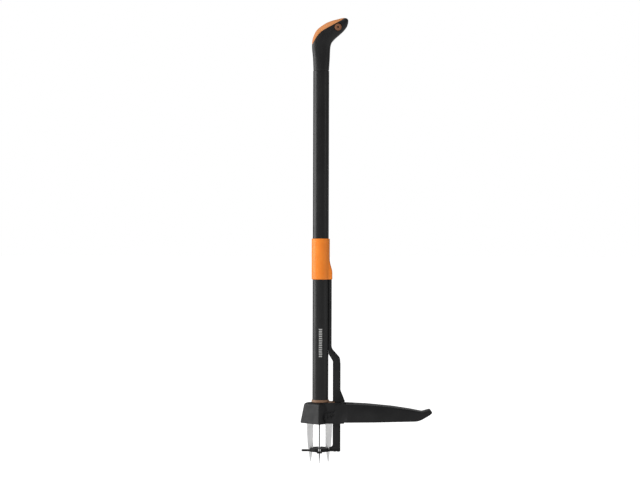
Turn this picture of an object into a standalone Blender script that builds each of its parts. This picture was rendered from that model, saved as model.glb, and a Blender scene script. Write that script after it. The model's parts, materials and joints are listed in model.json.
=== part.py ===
"""Stand up weeder: a long oval shaft with a curved handle, a sliding ejector and a head with a
foot pedal and four serrated claws that the pedal closes.

Frame: the origin is on the shaft's axis, at the head's flat underside. +Z runs up the shaft and
+X points along the pedal. All the sizes below are in millimetres, and MM turns them into metres.
"""
import math

import bmesh
import bpy
from mathutils import Matrix, Vector

MM = 0.001
GAP = 0.3  # clearance left between pieces that touch

# Shaft: an oval tube, given by its half widths along X and Y
TUBE_X, TUBE_Y, TUBE_WALL = 18.0, 15.0, 1.8
TUBE_BOTTOM, TUBE_TOP = 31.8, 791.7
PLUG_X, PLUG_Y = TUBE_X - TUBE_WALL - GAP, TUBE_Y - TUBE_WALL - GAP
PLUG_TOP = 52.0
CROSS_PIN_Z, CROSS_PIN_RADIUS = 41.0, 2.5
CROSS_PIN_ENDS = (-24.0, 23.6)

# Handle
HANDLE_HALF_DEPTH, HANDLE_ROUNDING = 14.0, 6.0
HANDLE_BOTTOM = TUBE_TOP + GAP
SPIGOT_BOTTOM = 764.0
EYELET_X, EYELET_Z = 37.8, 888.75
EYELET_OUTER, EYELET_INNER, EYELET_HALF_DEPTH = 8.0, 3.2, 14.6
HANDLE_SCREW_Z = 778.0

# Head: a diamond-shaped cover that tapers upwards, with a square tail towards the pedal
CLAW_AXIS_X = -2.0
HEAD_TOP = 46.5
HEAD_LEFT, HEAD_SIDE = 46.2, 38.0  # the diamond's sharp corners, from the shaft's axis and plane
HEAD_ROUNDING, HEAD_END_ROUNDING, CAVITY_ROUNDING = 4.0, 3.0, 3.0
HEAD_TAPER, SHOULDER = 8.3, 8.0
STEP_X, FLAT_Y, TAIL_END = 5.5, 18.4, 53.5
COVER_WALL = 2.0
LOW_CAVITY_TOP, HIGH_CAVITY_TOP, SOCKET_FLOOR = 21.6, 29.0, 31.5
CAVITY_LEFT, CAVITY_SIDE, CAVITY_END = 37.0, 31.9, 35.0
PLATE_THICKNESS = 3.0
CARRIER_BOTTOM, CARRIER_TOP = PLATE_THICKNESS + GAP, 20.2
CARRIER_END = 26.9
COLLAR_BOTTOM, COLLAR_TOP, TONGUE_TOP = HEAD_TOP + GAP, 52.4, 48.2
TONGUE_END, TONGUE_HALF_WIDTH = 33.0, 12.0

# Claws: flat blades in radial planes round CLAW_AXIS_X, drawn as (radius, height)
CLAW_THICKNESS, CLAW_SLOT = 3.0, 3.6
PIVOT_RADIUS, PIVOT_Z = 22.5, 15.0
CLAW_BOSS, CLAW_PIN_RADIUS = 6.1, 2.5
TOE_RADIUS, TOE_HALF = 6.0, 2.0
TIP_Z, TIP_OUTER, TIP_INNER = -87.0, 21.0, 19.5
TOOTH_PITCH, TOOTH_DEPTH = 3.2, 1.2
TEETH_TOP, TEETH_BOTTOM = -5.0, -68.0

# Pedal: a channel that tapers from the head to an upturned tip
PEDAL_PIVOT = (CLAW_AXIS_X + PIVOT_RADIUS, 0.0, PIVOT_Z)
PEDAL_PIN_RADIUS = 4.0
PEDAL_BOSS, RECESS_RADIUS = 10.0, 15.0
CHEEK_INNER, CHEEK_OUTER = 19.0, 23.5
PEDAL_TIP_HALF, PEDAL_WALL, PEDAL_TOP_WALL = 17.0, 3.5, 3.5
PEDAL_SLOT_HALF, PEDAL_SLOT_END = 6.0, 75.0
PEDAL_ROOF_START = 58.0
PEDAL_RIDGE = [(60, 44.3), (107.6, 42.0), (161.6, 37.1), (202, 31.2)]  # the tread, in (x, z)
PEG_OFFSET, PEG_RADIUS, PEG_INNER_END = (7.5, 4.0), 2.5, 12.6

# Claw actuator: a grooved spool with a yoke whose forks hold the pedal's pegs
SPOOL_RADIUS, WAIST_RADIUS, STEM_RADIUS = 7.5, 3.6, 3.0
GROOVE_HALF, FLANGE = 2.6, 2.5
YOKE_BOTTOM, YOKE_TOP, STEM_TOP = 20.6, 25.0, 31.0
ARM_INNER, ARM_OUTER, ARM_END = 12.5, 15.7, 34.0
FORK_START, FORK_BOTTOM, FORK_SLOT_HALF = 25.0, 13.0, 2.95
FORK_CORNER = 22.4  # the bar ends here, clear of the raised peg
SPRING_RADIUS, SPRING_WIRE, SPRING_TURNS = 5.0, 0.5, 5
SPRING_BOTTOM, SPRING_TOP = YOKE_TOP + GAP, 35.9

# Ejector: slider on the shaft, flat rod beside it and a star plate between the claws
SLEEVE_BOTTOM, SLEEVE_TOP, SLEEVE_X, SLEEVE_Y = 322.6, 414.5, 20.4, 18.0
SLEEVE_RUNNING = 0.4
SHOE_OUTER, SHOE_HALF_WIDTH, SHOE_TOP = 26.4, 8.0, 346.5
SHOE_BLEND = 22.0
ROD_HALF_DEPTH = 4.0
ROD_INNER_TOP, ROD_OUTER_TOP, ROD_TOP = 17.4, 25.0, 343.0
ROD_RUNNING = 0.35  # between the shaft and the rod's hollow inner face
ROD_INNER, ROD_OUTER, ROD_BOTTOM = 27.9, 45.3, -59.7
GUIDE_CLEARANCE, GUIDE_WALL, GUIDE_BOTTOM = 0.4, 2.0, 34.0
STAR_TOP, STAR_THICKNESS, STAR_RADIUS = -60.0, 3.5, 23.0
HUB_TOP, HUB_RADIUS = -56.0, 20.5
STAR_ARM, STAR_ARM_HALF, STAR_SLOT_HALF, STAR_SLOT_END = 40.0, 6.0, 2.2, 29.2
SLIDER_SCREW_X, SLIDER_SCREWS = 21.7, {"slider_screw_lower": 329.0, "slider_screw_upper": 338.0}
PLATE_SCREWS = {"plate_screw_inner": 32.5, "plate_screw_outer": 40.5}

STEPS, SCREW_STEPS, OVAL_STEPS = 16, 12, 40  # facets round each kind of round piece

COLOURS = {
    "powder_coat": ((0.022, 0.022, 0.024), 0.42, 0.0),
    "black_plastic": ((0.028, 0.028, 0.030), 0.55, 0.0),
    "orange_plastic": ((0.83, 0.20, 0.03), 0.45, 0.0),
    "stainless": ((0.62, 0.62, 0.62), 0.35, 1.0),
    "zinc": ((0.50, 0.51, 0.53), 0.35, 1.0),
    "spring_steel": ((0.30, 0.30, 0.32), 0.30, 1.0),
}


# ---------------------------------------------------------------- scene and materials

def clear_scene():
    for obj in list(bpy.data.objects):
        bpy.data.objects.remove(obj, do_unlink=True)


def new_collection(name):
    collection = bpy.data.collections.new(name)
    bpy.context.scene.collection.children.link(collection)
    return collection


def material(name):
    found = bpy.data.materials.get(name)
    if found:
        return found
    colour, roughness, metallic = COLOURS[name]
    made = bpy.data.materials.new(name)
    made.use_nodes = True
    shader = made.node_tree.nodes["Principled BSDF"]
    shader.inputs["Base Color"].default_value = (*colour, 1)
    shader.inputs["Roughness"].default_value = roughness
    shader.inputs["Metallic"].default_value = metallic
    made.diffuse_color = (*colour, 1)
    return made


clear_scene()
PARTS = new_collection("stand_up_weeder")
TOOLS = new_collection("cutters")


def tool(name, mesh):
    """A guide solid, used by Boolean modifiers and left out of the model."""
    obj = bpy.data.objects.new(name, mesh)
    obj.display_type = "WIRE"
    obj.hide_render = True
    TOOLS.objects.link(obj)
    return obj


def part(name, obj, material_name):
    """Turns a guide solid into one of the model's pieces."""
    obj.name = name
    obj.data.name = name
    obj.display_type = "TEXTURED"
    obj.hide_render = False
    TOOLS.objects.unlink(obj)
    PARTS.objects.link(obj)
    obj.data.materials.clear()
    obj.data.materials.append(material(material_name))
    if obj.type == "MESH":
        obj.data.shade_smooth()
        obj.data.set_sharp_from_angle(angle=math.radians(35))
    return obj


# ---------------------------------------------------------------- solids, in millimetres

def mesh_tool(name, bm):
    bmesh.ops.recalc_face_normals(bm, faces=bm.faces)
    mesh = bpy.data.meshes.new(name)
    bm.to_mesh(mesh)
    bm.free()
    return tool(name, mesh)


def box(name, low, high):
    size = [(b - a) * MM for a, b in zip(low, high)]
    centre = [(b + a) * MM / 2 for a, b in zip(low, high)]
    bm = bmesh.new()
    place = Matrix.Translation(centre) @ Matrix.Diagonal((*size, 1))
    bmesh.ops.create_cube(bm, size=1, matrix=place)
    return mesh_tool(name, bm)


def cylinder(name, centre, radius, half_length, axis="Z", radius_y=None, steps=STEPS):
    """A cylinder along X, Y or Z. With radius_y it is an oval along Z."""
    turn = {
        "X": Matrix.Rotation(math.pi / 2, 4, "Y"),
        "Y": Matrix.Rotation(math.pi / 2, 4, "X"),
        "Z": Matrix.Identity(4),
    }[axis]
    squash = Matrix.Diagonal((1, (radius_y or radius) / radius, 1, 1))
    bm = bmesh.new()
    bmesh.ops.create_cone(
        bm,
        cap_ends=True,
        segments=steps,
        radius1=radius * MM,
        radius2=radius * MM,
        depth=2 * half_length * MM,
        matrix=Matrix.Translation(Vector(centre) * MM) @ turn @ squash,
    )
    return mesh_tool(name, bm)


def oval(name, half_x, half_y, bottom, top):
    middle = (0, 0, (bottom + top) / 2)
    return cylinder(name, middle, half_x, (top - bottom) / 2, radius_y=half_y, steps=OVAL_STEPS)


def loft(name, rings):
    """A solid through rings that have the same number of points, from bottom to top."""
    bm = bmesh.new()
    rows = [[bm.verts.new(Vector(point) * MM) for point in ring] for ring in rings]
    count = len(rows[0])
    for below, above in zip(rows, rows[1:]):
        for i in range(count):
            j = (i + 1) % count
            bm.faces.new((below[i], below[j], above[j], above[i]))
    bm.faces.new(reversed(rows[0]))
    bm.faces.new(rows[-1])
    return mesh_tool(name, bm)


def fillet(before, corner, after, radius, steps=5):
    """Points of the arc that rounds a corner, tangent to both of its sides."""
    corner = Vector(corner)
    to_before = (Vector(before) - corner).normalized()
    to_after = (Vector(after) - corner).normalized()
    half = to_before.angle(to_after) / 2
    centre = corner + (to_before + to_after).normalized() * radius / math.sin(half)
    start = corner + to_before * radius / math.tan(half) - centre
    end = corner + to_after * radius / math.tan(half) - centre
    sweep = math.atan2(start.x * end.y - start.y * end.x, start.dot(end))
    spins = (Matrix.Rotation(sweep * i / steps, 2) for i in range(steps + 1))
    return [tuple(centre + spin @ start) for spin in spins]


def rounded(corners):
    """An outline from corners given as (x, y) or, with a fillet, (x, y, radius)."""
    points = []
    for i, corner in enumerate(corners):
        if len(corner) == 2:
            points.append(corner)
            continue
        before, after = corners[i - 1][:2], corners[(i + 1) % len(corners)][:2]
        points.extend(fillet(before, corner[:2], after, corner[2]))
    return points


def mirrored(corners):
    """Closes a half outline, drawn on the -Y side, with its mirror image in the plane Y = 0."""
    return corners + [(x, -y, *rest) for x, y, *rest in reversed(corners) if y != 0]


def flat_outline(name, half_thickness, spline_maker):
    """A 2D curve extruded to both sides and turned into a closed mesh."""
    curve = bpy.data.curves.new(name, "CURVE")
    curve.dimensions = "2D"
    curve.fill_mode = "BOTH"
    curve.extrude = half_thickness * MM
    curve.resolution_u = 3
    spline_maker(curve)
    sketch = bpy.data.objects.new(name, curve)
    TOOLS.objects.link(sketch)
    bpy.context.view_layer.update()
    evaluated = sketch.evaluated_get(bpy.context.evaluated_depsgraph_get())
    mesh = bpy.data.meshes.new_from_object(evaluated)
    bpy.data.objects.remove(sketch)
    bm = bmesh.new()
    bm.from_mesh(mesh)
    bmesh.ops.remove_doubles(bm, verts=bm.verts, dist=0.00001)
    bpy.data.meshes.remove(mesh)
    return mesh_tool(name, bm)


def add_polygon(curve, points):
    spline = curve.splines.new("POLY")
    spline.points.add(len(points) - 1)
    for target, (x, y) in zip(spline.points, points):
        target.co = (x * MM, y * MM, 0, 1)
    spline.use_cyclic_u = True


def add_smooth(curve, points, sharp_ends):
    spline = curve.splines.new("BEZIER")
    spline.bezier_points.add(len(points) - 1)
    for target, (x, y) in zip(spline.bezier_points, points):
        target.co = (x * MM, y * MM, 0)
        target.handle_left_type = "AUTO"
        target.handle_right_type = "AUTO"
    for index in sharp_ends:
        spline.bezier_points[index].handle_left_type = "VECTOR"
        spline.bezier_points[index].handle_right_type = "VECTOR"
    spline.use_cyclic_u = True


def plan_prism(name, points, bottom, top):
    """An outline drawn in plan, as (x, y), between two heights."""
    obj = flat_outline(name, (top - bottom) / 2, lambda curve: add_polygon(curve, points))
    obj.data.transform(Matrix.Translation((0, 0, (top + bottom) / 2 * MM)))
    return obj


def side_prism(name, points, half_depth):
    """An outline seen from the side, as (x, z), that reaches half_depth to both sides."""
    obj = flat_outline(name, half_depth, lambda curve: add_polygon(curve, points))
    obj.data.transform(Matrix.Rotation(math.pi / 2, 4, "X"))
    return obj


def smooth_side_prism(name, points, half_depth, sharp_ends):
    obj = flat_outline(name, half_depth, lambda curve: add_smooth(curve, points, sharp_ends))
    obj.data.transform(Matrix.Rotation(math.pi / 2, 4, "X"))
    return obj


def turned(name, profile, centre=(0, 0, 0), axis="Z", closed=False, steps=STEPS):
    """A turned solid. The profile is (radius, height) down the outer side, top to bottom.
    Height runs along the named axis; "-Y" turns the top towards -Y."""
    bm = bmesh.new()
    verts = [bm.verts.new((radius * MM, 0, height * MM)) for radius, height in profile]
    for start, end in zip(verts, verts[1:]):
        bm.edges.new((start, end))
    if closed:
        bm.edges.new((verts[-1], verts[0]))
    mesh = bpy.data.meshes.new(name)
    bm.to_mesh(mesh)
    bm.free()
    obj = tool(name, mesh)
    screw = obj.modifiers.new("turn", "SCREW")
    screw.steps = steps
    screw.render_steps = steps
    screw.use_merge_vertices = True
    screw.merge_threshold = 0.00001
    obj.rotation_euler = {
        "Z": (0, 0, 0),
        "-Z": (math.pi, 0, 0),
        "X": (0, math.pi / 2, 0),
        "-Y": (math.pi / 2, 0, 0),
        "Y": (-math.pi / 2, 0, 0),
    }[axis]
    obj.location = Vector(centre) * MM
    return obj


def combine(obj, other, operation="DIFFERENCE"):
    step = obj.modifiers.new(other.name, "BOOLEAN")
    step.operation = operation
    step.object = other
    step.solver = "EXACT"
    return obj


def cut(obj, *cutters):
    for cutter in cutters:
        combine(obj, cutter)
    return obj


def join(obj, *others):
    for other in others:
        combine(obj, other, "UNION")
    return obj


def soften(obj, width, segments=2):
    bevel = obj.modifiers.new("bevel", "BEVEL")
    bevel.width = width * MM
    bevel.segments = segments
    bevel.limit_method = "ANGLE"
    bevel.angle_limit = math.radians(50)
    return obj


def pivot(name, position, pieces):
    """An empty on a joint's axis, which carries the pieces that move with the joint."""
    empty = bpy.data.objects.new(name, None)
    empty.location = Vector(position) * MM
    PARTS.objects.link(empty)
    for piece in pieces:
        piece.parent = empty
        piece.location = piece.location - empty.location
    return empty


def pin(name, radius, start, end, axis, centre, material_name="zinc"):
    """A plain pin along an axis, between two heights on it."""
    profile = [(0, end), (radius, end), (radius, start), (0, start)]
    return part(name, turned(name, profile, centre, axis), material_name)


def pan_screw(name, head, shank, top, length, centre, axis):
    """A screw whose head's underside is at height top; head is (radius, thickness)."""
    radius, thickness = head
    profile = [
        (0, top + thickness),
        (radius * 0.7, top + thickness),
        (radius, top + thickness * 0.5),
        (radius, top),
        (shank, top),
        (shank, top - length),
        (0, top - length),
    ]
    return part(name, turned(name, profile, centre, axis, steps=SCREW_STEPS), "zinc")


# ---------------------------------------------------------------- shaft and handle

def shaft():
    tube = oval("shaft_tube", TUBE_X, TUBE_Y, TUBE_BOTTOM, TUBE_TOP)
    bore = oval("tube_bore", TUBE_X - TUBE_WALL, TUBE_Y - TUBE_WALL, TUBE_BOTTOM - 5, TUBE_TOP + 5)
    cut(tube, bore, cross_pin_hole(), handle_screw_hole())
    part("shaft_tube", tube, "powder_coat")

    plug = oval("shaft_plug", PLUG_X, PLUG_Y, TUBE_BOTTOM, PLUG_TOP)
    seat = cylinder("spring_seat", (CLAW_AXIS_X, 0, SPRING_TOP + GAP - 10), 6.5, 10)
    cut(plug, seat, cross_pin_hole())
    part("shaft_plug", plug, "black_plastic")
    start, end = CROSS_PIN_ENDS
    pin("shaft_cross_pin", CROSS_PIN_RADIUS, start, end, "X", (0, 0, CROSS_PIN_Z))


def cross_pin_hole():
    """A blind hole: the pin goes in from the pocket of the rod guide."""
    start, end = CROSS_PIN_ENDS[0] - GAP, CROSS_PIN_ENDS[1] + 6
    middle = ((start + end) / 2, 0, CROSS_PIN_Z)
    return cylinder("cross_pin_hole", middle, CROSS_PIN_RADIUS + GAP, (end - start) / 2, "X")


def handle_screw_hole():
    return cylinder("handle_screw_hole", (0, 13, HANDLE_SCREW_Z), 2.1, 9, "Y")


def handle_solid(name, half_depth):
    """The handle's whole outline: up the back, round the tip and down the inner side."""
    outline = [
        (-17.6, HANDLE_BOTTOM), (-18.9, 820), (-20.6, 845), (-19.0, 863.6), (-12.0, 880.0), (-3.3, 889.2),
        (10.3, 898.4), (21.9, 903.3), (34.8, 907.0), (46.3, 909.7), (55.0, 910.5), (60.2, 907.3),
        (60.4, 898.6), (55.9, 887.2), (42.4, 874.0), (32.1, 865.0), (24.2, 856.4), (20.6, 845),
        (19.2, 814), (17.6, HANDLE_BOTTOM),
    ]
    solid = smooth_side_prism(name, outline, half_depth, sharp_ends=(0, len(outline) - 1))
    return soften(solid, HANDLE_ROUNDING)


def grip_zone(name, shift):
    """The space of the insert: its inner boundary is smooth, the other sides are outside."""
    outline = [
        (-40, 850), (-19.5, 851), (-12.0, 861.5), (-5.0, 870.5), (0.5, 877.0), (9.2, 883.2),
        (21.8, 889.6), (29.5, 894.2), (45.2, 904.0), (52.0, 909.0), (58, 925), (-40, 925),
    ]
    corners = (0, 1, len(outline) - 3, len(outline) - 2, len(outline) - 1)
    zone = smooth_side_prism(name, outline, 30, corners)
    zone.location = (-shift * MM, 0, shift * MM)
    return zone


def handle():
    body = handle_solid("handle_body", HANDLE_HALF_DEPTH)
    spigot = oval("handle_spigot", PLUG_X, PLUG_Y, SPIGOT_BOTTOM, HANDLE_BOTTOM + 10)
    eyelet_hole = cylinder(
        "eyelet_hole", (EYELET_X, 0, EYELET_Z), EYELET_OUTER + GAP, 30, "Y")
    cut(body, grip_zone("grip_zone", 0))
    join(body, spigot)
    cut(body, eyelet_hole, handle_screw_hole())
    part("handle_body", body, "black_plastic")

    pad = handle_solid("handle_grip_pad", HANDLE_HALF_DEPTH + 0.3)
    combine(pad, grip_zone("grip_pad_zone", GAP), "INTERSECT")
    part("handle_grip_pad", pad, "orange_plastic")

    ring = [
        (EYELET_OUTER, EYELET_HALF_DEPTH), (EYELET_OUTER, -EYELET_HALF_DEPTH),
        (EYELET_INNER, -EYELET_HALF_DEPTH), (EYELET_INNER, EYELET_HALF_DEPTH),
    ]
    eyelet = turned("hang_eyelet", ring, (EYELET_X, 0, EYELET_Z), "-Y", closed=True)
    part("hang_eyelet", eyelet, "orange_plastic")
    screw_place = (0, 0, HANDLE_SCREW_Z)
    pan_screw("handle_screw", (3.5, 1.8), 1.8, TUBE_Y + GAP, 11, screw_place, "Y")


def collar():
    ring = oval("shaft_collar", TUBE_X + 1.6, TUBE_Y + 2.0, COLLAR_BOTTOM, COLLAR_TOP)
    bore = oval("collar_bore", TUBE_X + GAP, TUBE_Y + GAP, COLLAR_BOTTOM - 5, COLLAR_TOP + 5)
    low = (10, -TONGUE_HALF_WIDTH, COLLAR_BOTTOM)
    tongue = box("tongue", low, (TONGUE_END, TONGUE_HALF_WIDTH, TONGUE_TOP))
    join(ring, tongue)
    cut(ring, bore, rod_slot("collar_rod_slot", 0.8))
    part("shaft_collar", ring, "orange_plastic")


# ---------------------------------------------------------------- head

def diamond_ring(left, side, height):
    """The head's outline at one height: a diamond with rounded corners."""
    right = 2 * CLAW_AXIS_X + left
    end, flank = HEAD_END_ROUNDING, HEAD_ROUNDING
    corners = [(-left, 0, end), (CLAW_AXIS_X, -side, flank), (right, 0, end), (CLAW_AXIS_X, side, flank)]
    return [(x, y, height) for x, y in rounded(corners)]


def edge_y(left, side, x):
    """Half width of a diamond at x, on its side towards the pedal."""
    return side * (1 - (x - CLAW_AXIS_X) / (left + CLAW_AXIS_X))


def head_outline(left, side, step_x, flat_y, end):
    """A section of the head's inside: half a diamond and, past step_x, a parallel tail."""
    half = [(-left, 0, CAVITY_ROUNDING), (CLAW_AXIS_X, -side, CAVITY_ROUNDING),
            (step_x, -edge_y(left, side, step_x)), (step_x, -flat_y), (end, -flat_y)]
    return rounded(mirrored(half))


def rod_slot(name, clearance):
    low = (ROD_INNER - clearance, -ROD_HALF_DEPTH - clearance, -20)
    return box(name, low, (ROD_OUTER + clearance, ROD_HALF_DEPTH + clearance, 80))


def guide_block(name, growth, bottom):
    """The rod guide's outside, or with growth the pocket that holds it."""
    reach = GUIDE_CLEARANCE + GUIDE_WALL + growth
    low = (ROD_INNER - reach, -ROD_HALF_DEPTH - reach, bottom)
    return box(name, low, (ROD_OUTER + reach, ROD_HALF_DEPTH + reach, HEAD_TOP - GAP + 30 * growth))


def pedal_pin_hole(name):
    return cylinder(name, PEDAL_PIVOT, PEDAL_PIN_RADIUS + GAP, 45, "Y")


def peg_window(name, side):
    """The opening in a flat of the head in which a pedal peg swings."""
    low = (PEDAL_PIVOT[0] + 2.2, side * FLAT_Y - 5, PIVOT_Z + 1.2)
    return box(name, low, (PEDAL_PIVOT[0] + 10.6, side * FLAT_Y + 5, PIVOT_Z + 9.7))


def housing_cover():
    slope = HEAD_TAPER / (HEAD_TOP - 8)
    levels = [(0, 1.2), (1.2, 0), (HEAD_TOP - 4, slope * (HEAD_TOP - 5)), (HEAD_TOP, SHOULDER + 7.3)]
    rings = [diamond_ring(HEAD_LEFT - inset, HEAD_SIDE - inset, z) for z, inset in levels]
    cover = loft("housing_cover", rings)
    x, _, z = PEDAL_PIVOT
    for side in (-1, 1):
        y_ends = sorted((side * FLAT_Y, side * 60))
        cut(cover, box("flat", (x - 3, y_ends[0], -5), (80, y_ends[1], 80)))
        recess_centre = (x, side * (FLAT_Y + 20), z)
        cut(cover, cylinder("boss_recess", recess_centre, RECESS_RADIUS, 20, "Y", steps=48))
    join(cover, box("tail", (STEP_X - 4, -FLAT_Y, 0), (TAIL_END, FLAT_Y, HEAD_TOP)))
    inner = head_outline(CAVITY_LEFT, CAVITY_SIDE, STEP_X - COVER_WALL, FLAT_Y - COVER_WALL, CAVITY_END)
    half = FLAT_Y - COVER_WALL
    cut(
        cover,
        plan_prism("low_cavity", inner, -5, LOW_CAVITY_TOP),
        box("high_cavity", (-12, -half, 10), (CAVITY_END, half, HIGH_CAVITY_TOP)),
        cylinder("spring_hole", (CLAW_AXIS_X, 0, SOCKET_FLOOR), 7, 5),
        oval("socket", TUBE_X + GAP, TUBE_Y + GAP, SOCKET_FLOOR, HEAD_TOP + 10),
        rod_slot("cover_rod_slot", 0.7),
        guide_block("guide_pocket", GAP, GUIDE_BOTTOM),
        pedal_pin_hole("cover_pin_hole"),
        peg_window("window_front", -1),
        peg_window("window_rear", 1),
        cross_pin_hole(),
    )
    part("housing_cover", cover, "black_plastic")


def rod_guide():
    guide = guide_block("rod_guide", 0, GUIDE_BOTTOM + GAP)
    cut(guide, rod_slot("guide_slot", GUIDE_CLEARANCE))
    part("rod_guide", guide, "black_plastic")


def cross_slots(name, half_width, reach, bottom, top, start=0.0):
    """Boxes along X and Y from the claws' axis; start above 0 leaves the centre whole."""
    slots = []
    for i, (dx, dy) in enumerate(((1, 0), (-1, 0), (0, 1), (0, -1))):
        along = sorted((start * (dx + dy), reach * (dx + dy)))
        across = (-half_width, half_width)
        xs, ys = (along, across) if dx else (across, along)
        low = (CLAW_AXIS_X + xs[0], ys[0], bottom)
        slots.append(box(f"{name}_{i}", low, (CLAW_AXIS_X + xs[1], ys[1], top)))
    return slots


def screw_places():
    return {
        "base_screw_1": (-16.0, -11.0), "base_screw_2": (-16.0, 11.0),
        "base_screw_3": (12.0, -10.0), "base_screw_4": (12.0, 10.0),
    }


def base_plate():
    outline = head_outline(CAVITY_LEFT - GAP, CAVITY_SIDE - GAP, STEP_X - COVER_WALL - GAP,
                           FLAT_Y - COVER_WALL - GAP, CAVITY_END - GAP)
    plate = plan_prism("base_plate", outline, 0, PLATE_THICKNESS)
    cut(plate, rod_slot("plate_rod_slot", 0.8))
    cut(plate, *cross_slots("claw_window", 1.9, 29.5, -5, 10, start=9.5))
    for name, (x, y) in screw_places().items():
        cut(plate, cylinder(f"{name}_hole", (x, y, 0), 1.8, 10))
        cut(plate, cylinder(f"{name}_recess", (x, y, 0), 3.4, 1.8))
        pan_screw(name, (3.0, 1.2), 1.5, -1.5, 7.5, (x, y, 0), "-Z")
    part("base_plate", plate, "powder_coat")


def claw_carrier():
    outline = head_outline(CAVITY_LEFT - GAP, CAVITY_SIDE - GAP, STEP_X - COVER_WALL - GAP,
                           FLAT_Y - COVER_WALL - GAP, CARRIER_END)
    carrier = plan_prism("claw_carrier", outline, CARRIER_BOTTOM, CARRIER_TOP)
    cut(carrier, cylinder("spool_bore", (CLAW_AXIS_X, 0, 10), SPOOL_RADIUS + 0.5, 20))
    cut(carrier, *cross_slots("claw_slot", CLAW_SLOT / 2, 29.2, -5, 40))
    for side in (-1, 1):
        y_ends = sorted((side * (ARM_INNER - 0.4), side * 30))
        cut(carrier, box("fork_pocket", (22.6, y_ends[0], -5), (60, y_ends[1], 60)))
    cut(carrier, pedal_pin_hole("carrier_pin_hole"))
    for _, position, axis in claw_pins():
        cut(carrier, cylinder("claw_pin_hole", position, CLAW_PIN_RADIUS + GAP, 20, axis))
    for name, (x, y) in screw_places().items():
        cut(carrier, cylinder(f"{name}_thread", (x, y, 0), 1.8, 9.4))
    part("claw_carrier", carrier, "zinc")


def claw_pins():
    """The three short claw pins; the right claw turns on the pedal's pin."""
    return [
        ("claw_pin_left", (CLAW_AXIS_X - PIVOT_RADIUS, 0, PIVOT_Z), "Y"),
        ("claw_pin_front", (CLAW_AXIS_X, -PIVOT_RADIUS, PIVOT_Z), "X"),
        ("claw_pin_rear", (CLAW_AXIS_X, PIVOT_RADIUS, PIVOT_Z), "X"),
    ]


# ---------------------------------------------------------------- claws and their drive

def tooth_points():
    """The serrated inner edge, from top to bottom, on the blade's inner line."""
    count = round((TEETH_TOP - TEETH_BOTTOM) / TOOTH_PITCH)
    points = []
    for i in range(count):
        top = TEETH_TOP - i * TOOTH_PITCH
        points.append((inner_edge(top), top))
        low = top - TOOTH_PITCH * 0.3
        points.append((inner_edge(low) + TOOTH_DEPTH, low))
    return points


def inner_edge(z):
    """Radius of the blade's inner edge: straight at first, then out towards the tip."""
    if z > -48:
        return 13.0
    return 13.0 + (TIP_INNER - 13.0) * ((-48 - z) / (-48 - TIP_Z)) ** 1.3


def claw_outline():
    boss = []
    for i in range(10):
        turn = math.radians(150 - 150 * i / 9)
        boss.append((PIVOT_RADIUS + CLAW_BOSS * math.cos(turn), PIVOT_Z + CLAW_BOSS * math.sin(turn)))
    toe = []
    for i in range(7):
        turn = math.radians(270 - 180 * i / 6)
        toe.append((TOE_RADIUS + TOE_HALF * math.cos(turn), PIVOT_Z + TOE_HALF * math.sin(turn)))
    outer = [(28.6, 0), (27.8, -25), (26.4, -48), (22.9, -70), (TIP_OUTER, TIP_Z)]
    inner = [(TIP_INNER, TIP_Z), (inner_edge(-78), -78), *reversed(tooth_points())]
    heel = [(13, 2), (14.5, PIVOT_Z - TOE_HALF)]
    neck = [(14.0, PIVOT_Z + TOE_HALF)]
    return boss + outer + inner + heel + toe + neck


def claw(name, direction, hole_radius):
    """One blade; direction is the angle of its radial plane from +X."""
    blade = side_prism(name, claw_outline(), CLAW_THICKNESS / 2)
    blade.data.transform(Matrix.Translation((-PIVOT_RADIUS * MM, 0, -PIVOT_Z * MM)))
    turn = math.radians(direction)
    x = CLAW_AXIS_X + PIVOT_RADIUS * math.cos(turn)
    y = PIVOT_RADIUS * math.sin(turn)
    blade.rotation_euler = (0, 0, turn)
    blade.location = Vector((x, y, PIVOT_Z)) * MM
    axis = "Y" if direction in (0, 180) else "X"
    cut(blade, cylinder(f"{name}_hole", (x, y, PIVOT_Z), hole_radius, 6, axis))
    part(name, blade, "stainless")


def claws():
    small_hole = CLAW_PIN_RADIUS + GAP
    claw("claw_right", 0, PEDAL_PIN_RADIUS + GAP)
    claw("claw_rear", 90, small_hole)
    claw("claw_left", 180, small_hole)
    claw("claw_front", 270, small_hole)
    for name, position, axis in claw_pins():
        half = 7.8 if axis == "Y" else 4.9
        pin(name, CLAW_PIN_RADIUS, -half, half, axis, position)


def claw_actuator():
    flange_top, groove_low = PIVOT_Z + GROOVE_HALF, PIVOT_Z - GROOVE_HALF
    profile = [
        (0, STEM_TOP), (STEM_RADIUS, STEM_TOP), (STEM_RADIUS, YOKE_TOP - 1),
        (SPOOL_RADIUS - 0.2, YOKE_TOP - 1), (SPOOL_RADIUS - 0.2, YOKE_BOTTOM + 1),
        (SPOOL_RADIUS, YOKE_BOTTOM + 1), (SPOOL_RADIUS, flange_top), (WAIST_RADIUS, flange_top),
        (WAIST_RADIUS, groove_low), (SPOOL_RADIUS, groove_low), (SPOOL_RADIUS, groove_low - FLANGE),
        (0, groove_low - FLANGE),
    ]
    spool = turned("claw_actuator", profile, (CLAW_AXIS_X, 0, 0))
    back, front = CLAW_AXIS_X - SPOOL_RADIUS - 0.5, CLAW_AXIS_X + SPOOL_RADIUS + 0.5
    join(spool, box("yoke_bar", (back, -ARM_OUTER + 1, YOKE_BOTTOM), (front, ARM_OUTER - 1, YOKE_TOP)))
    for side in (-1, 1):
        join(spool, fork_arm("fork_arm", side, back))
    part("claw_actuator", spool, "zinc")


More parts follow.
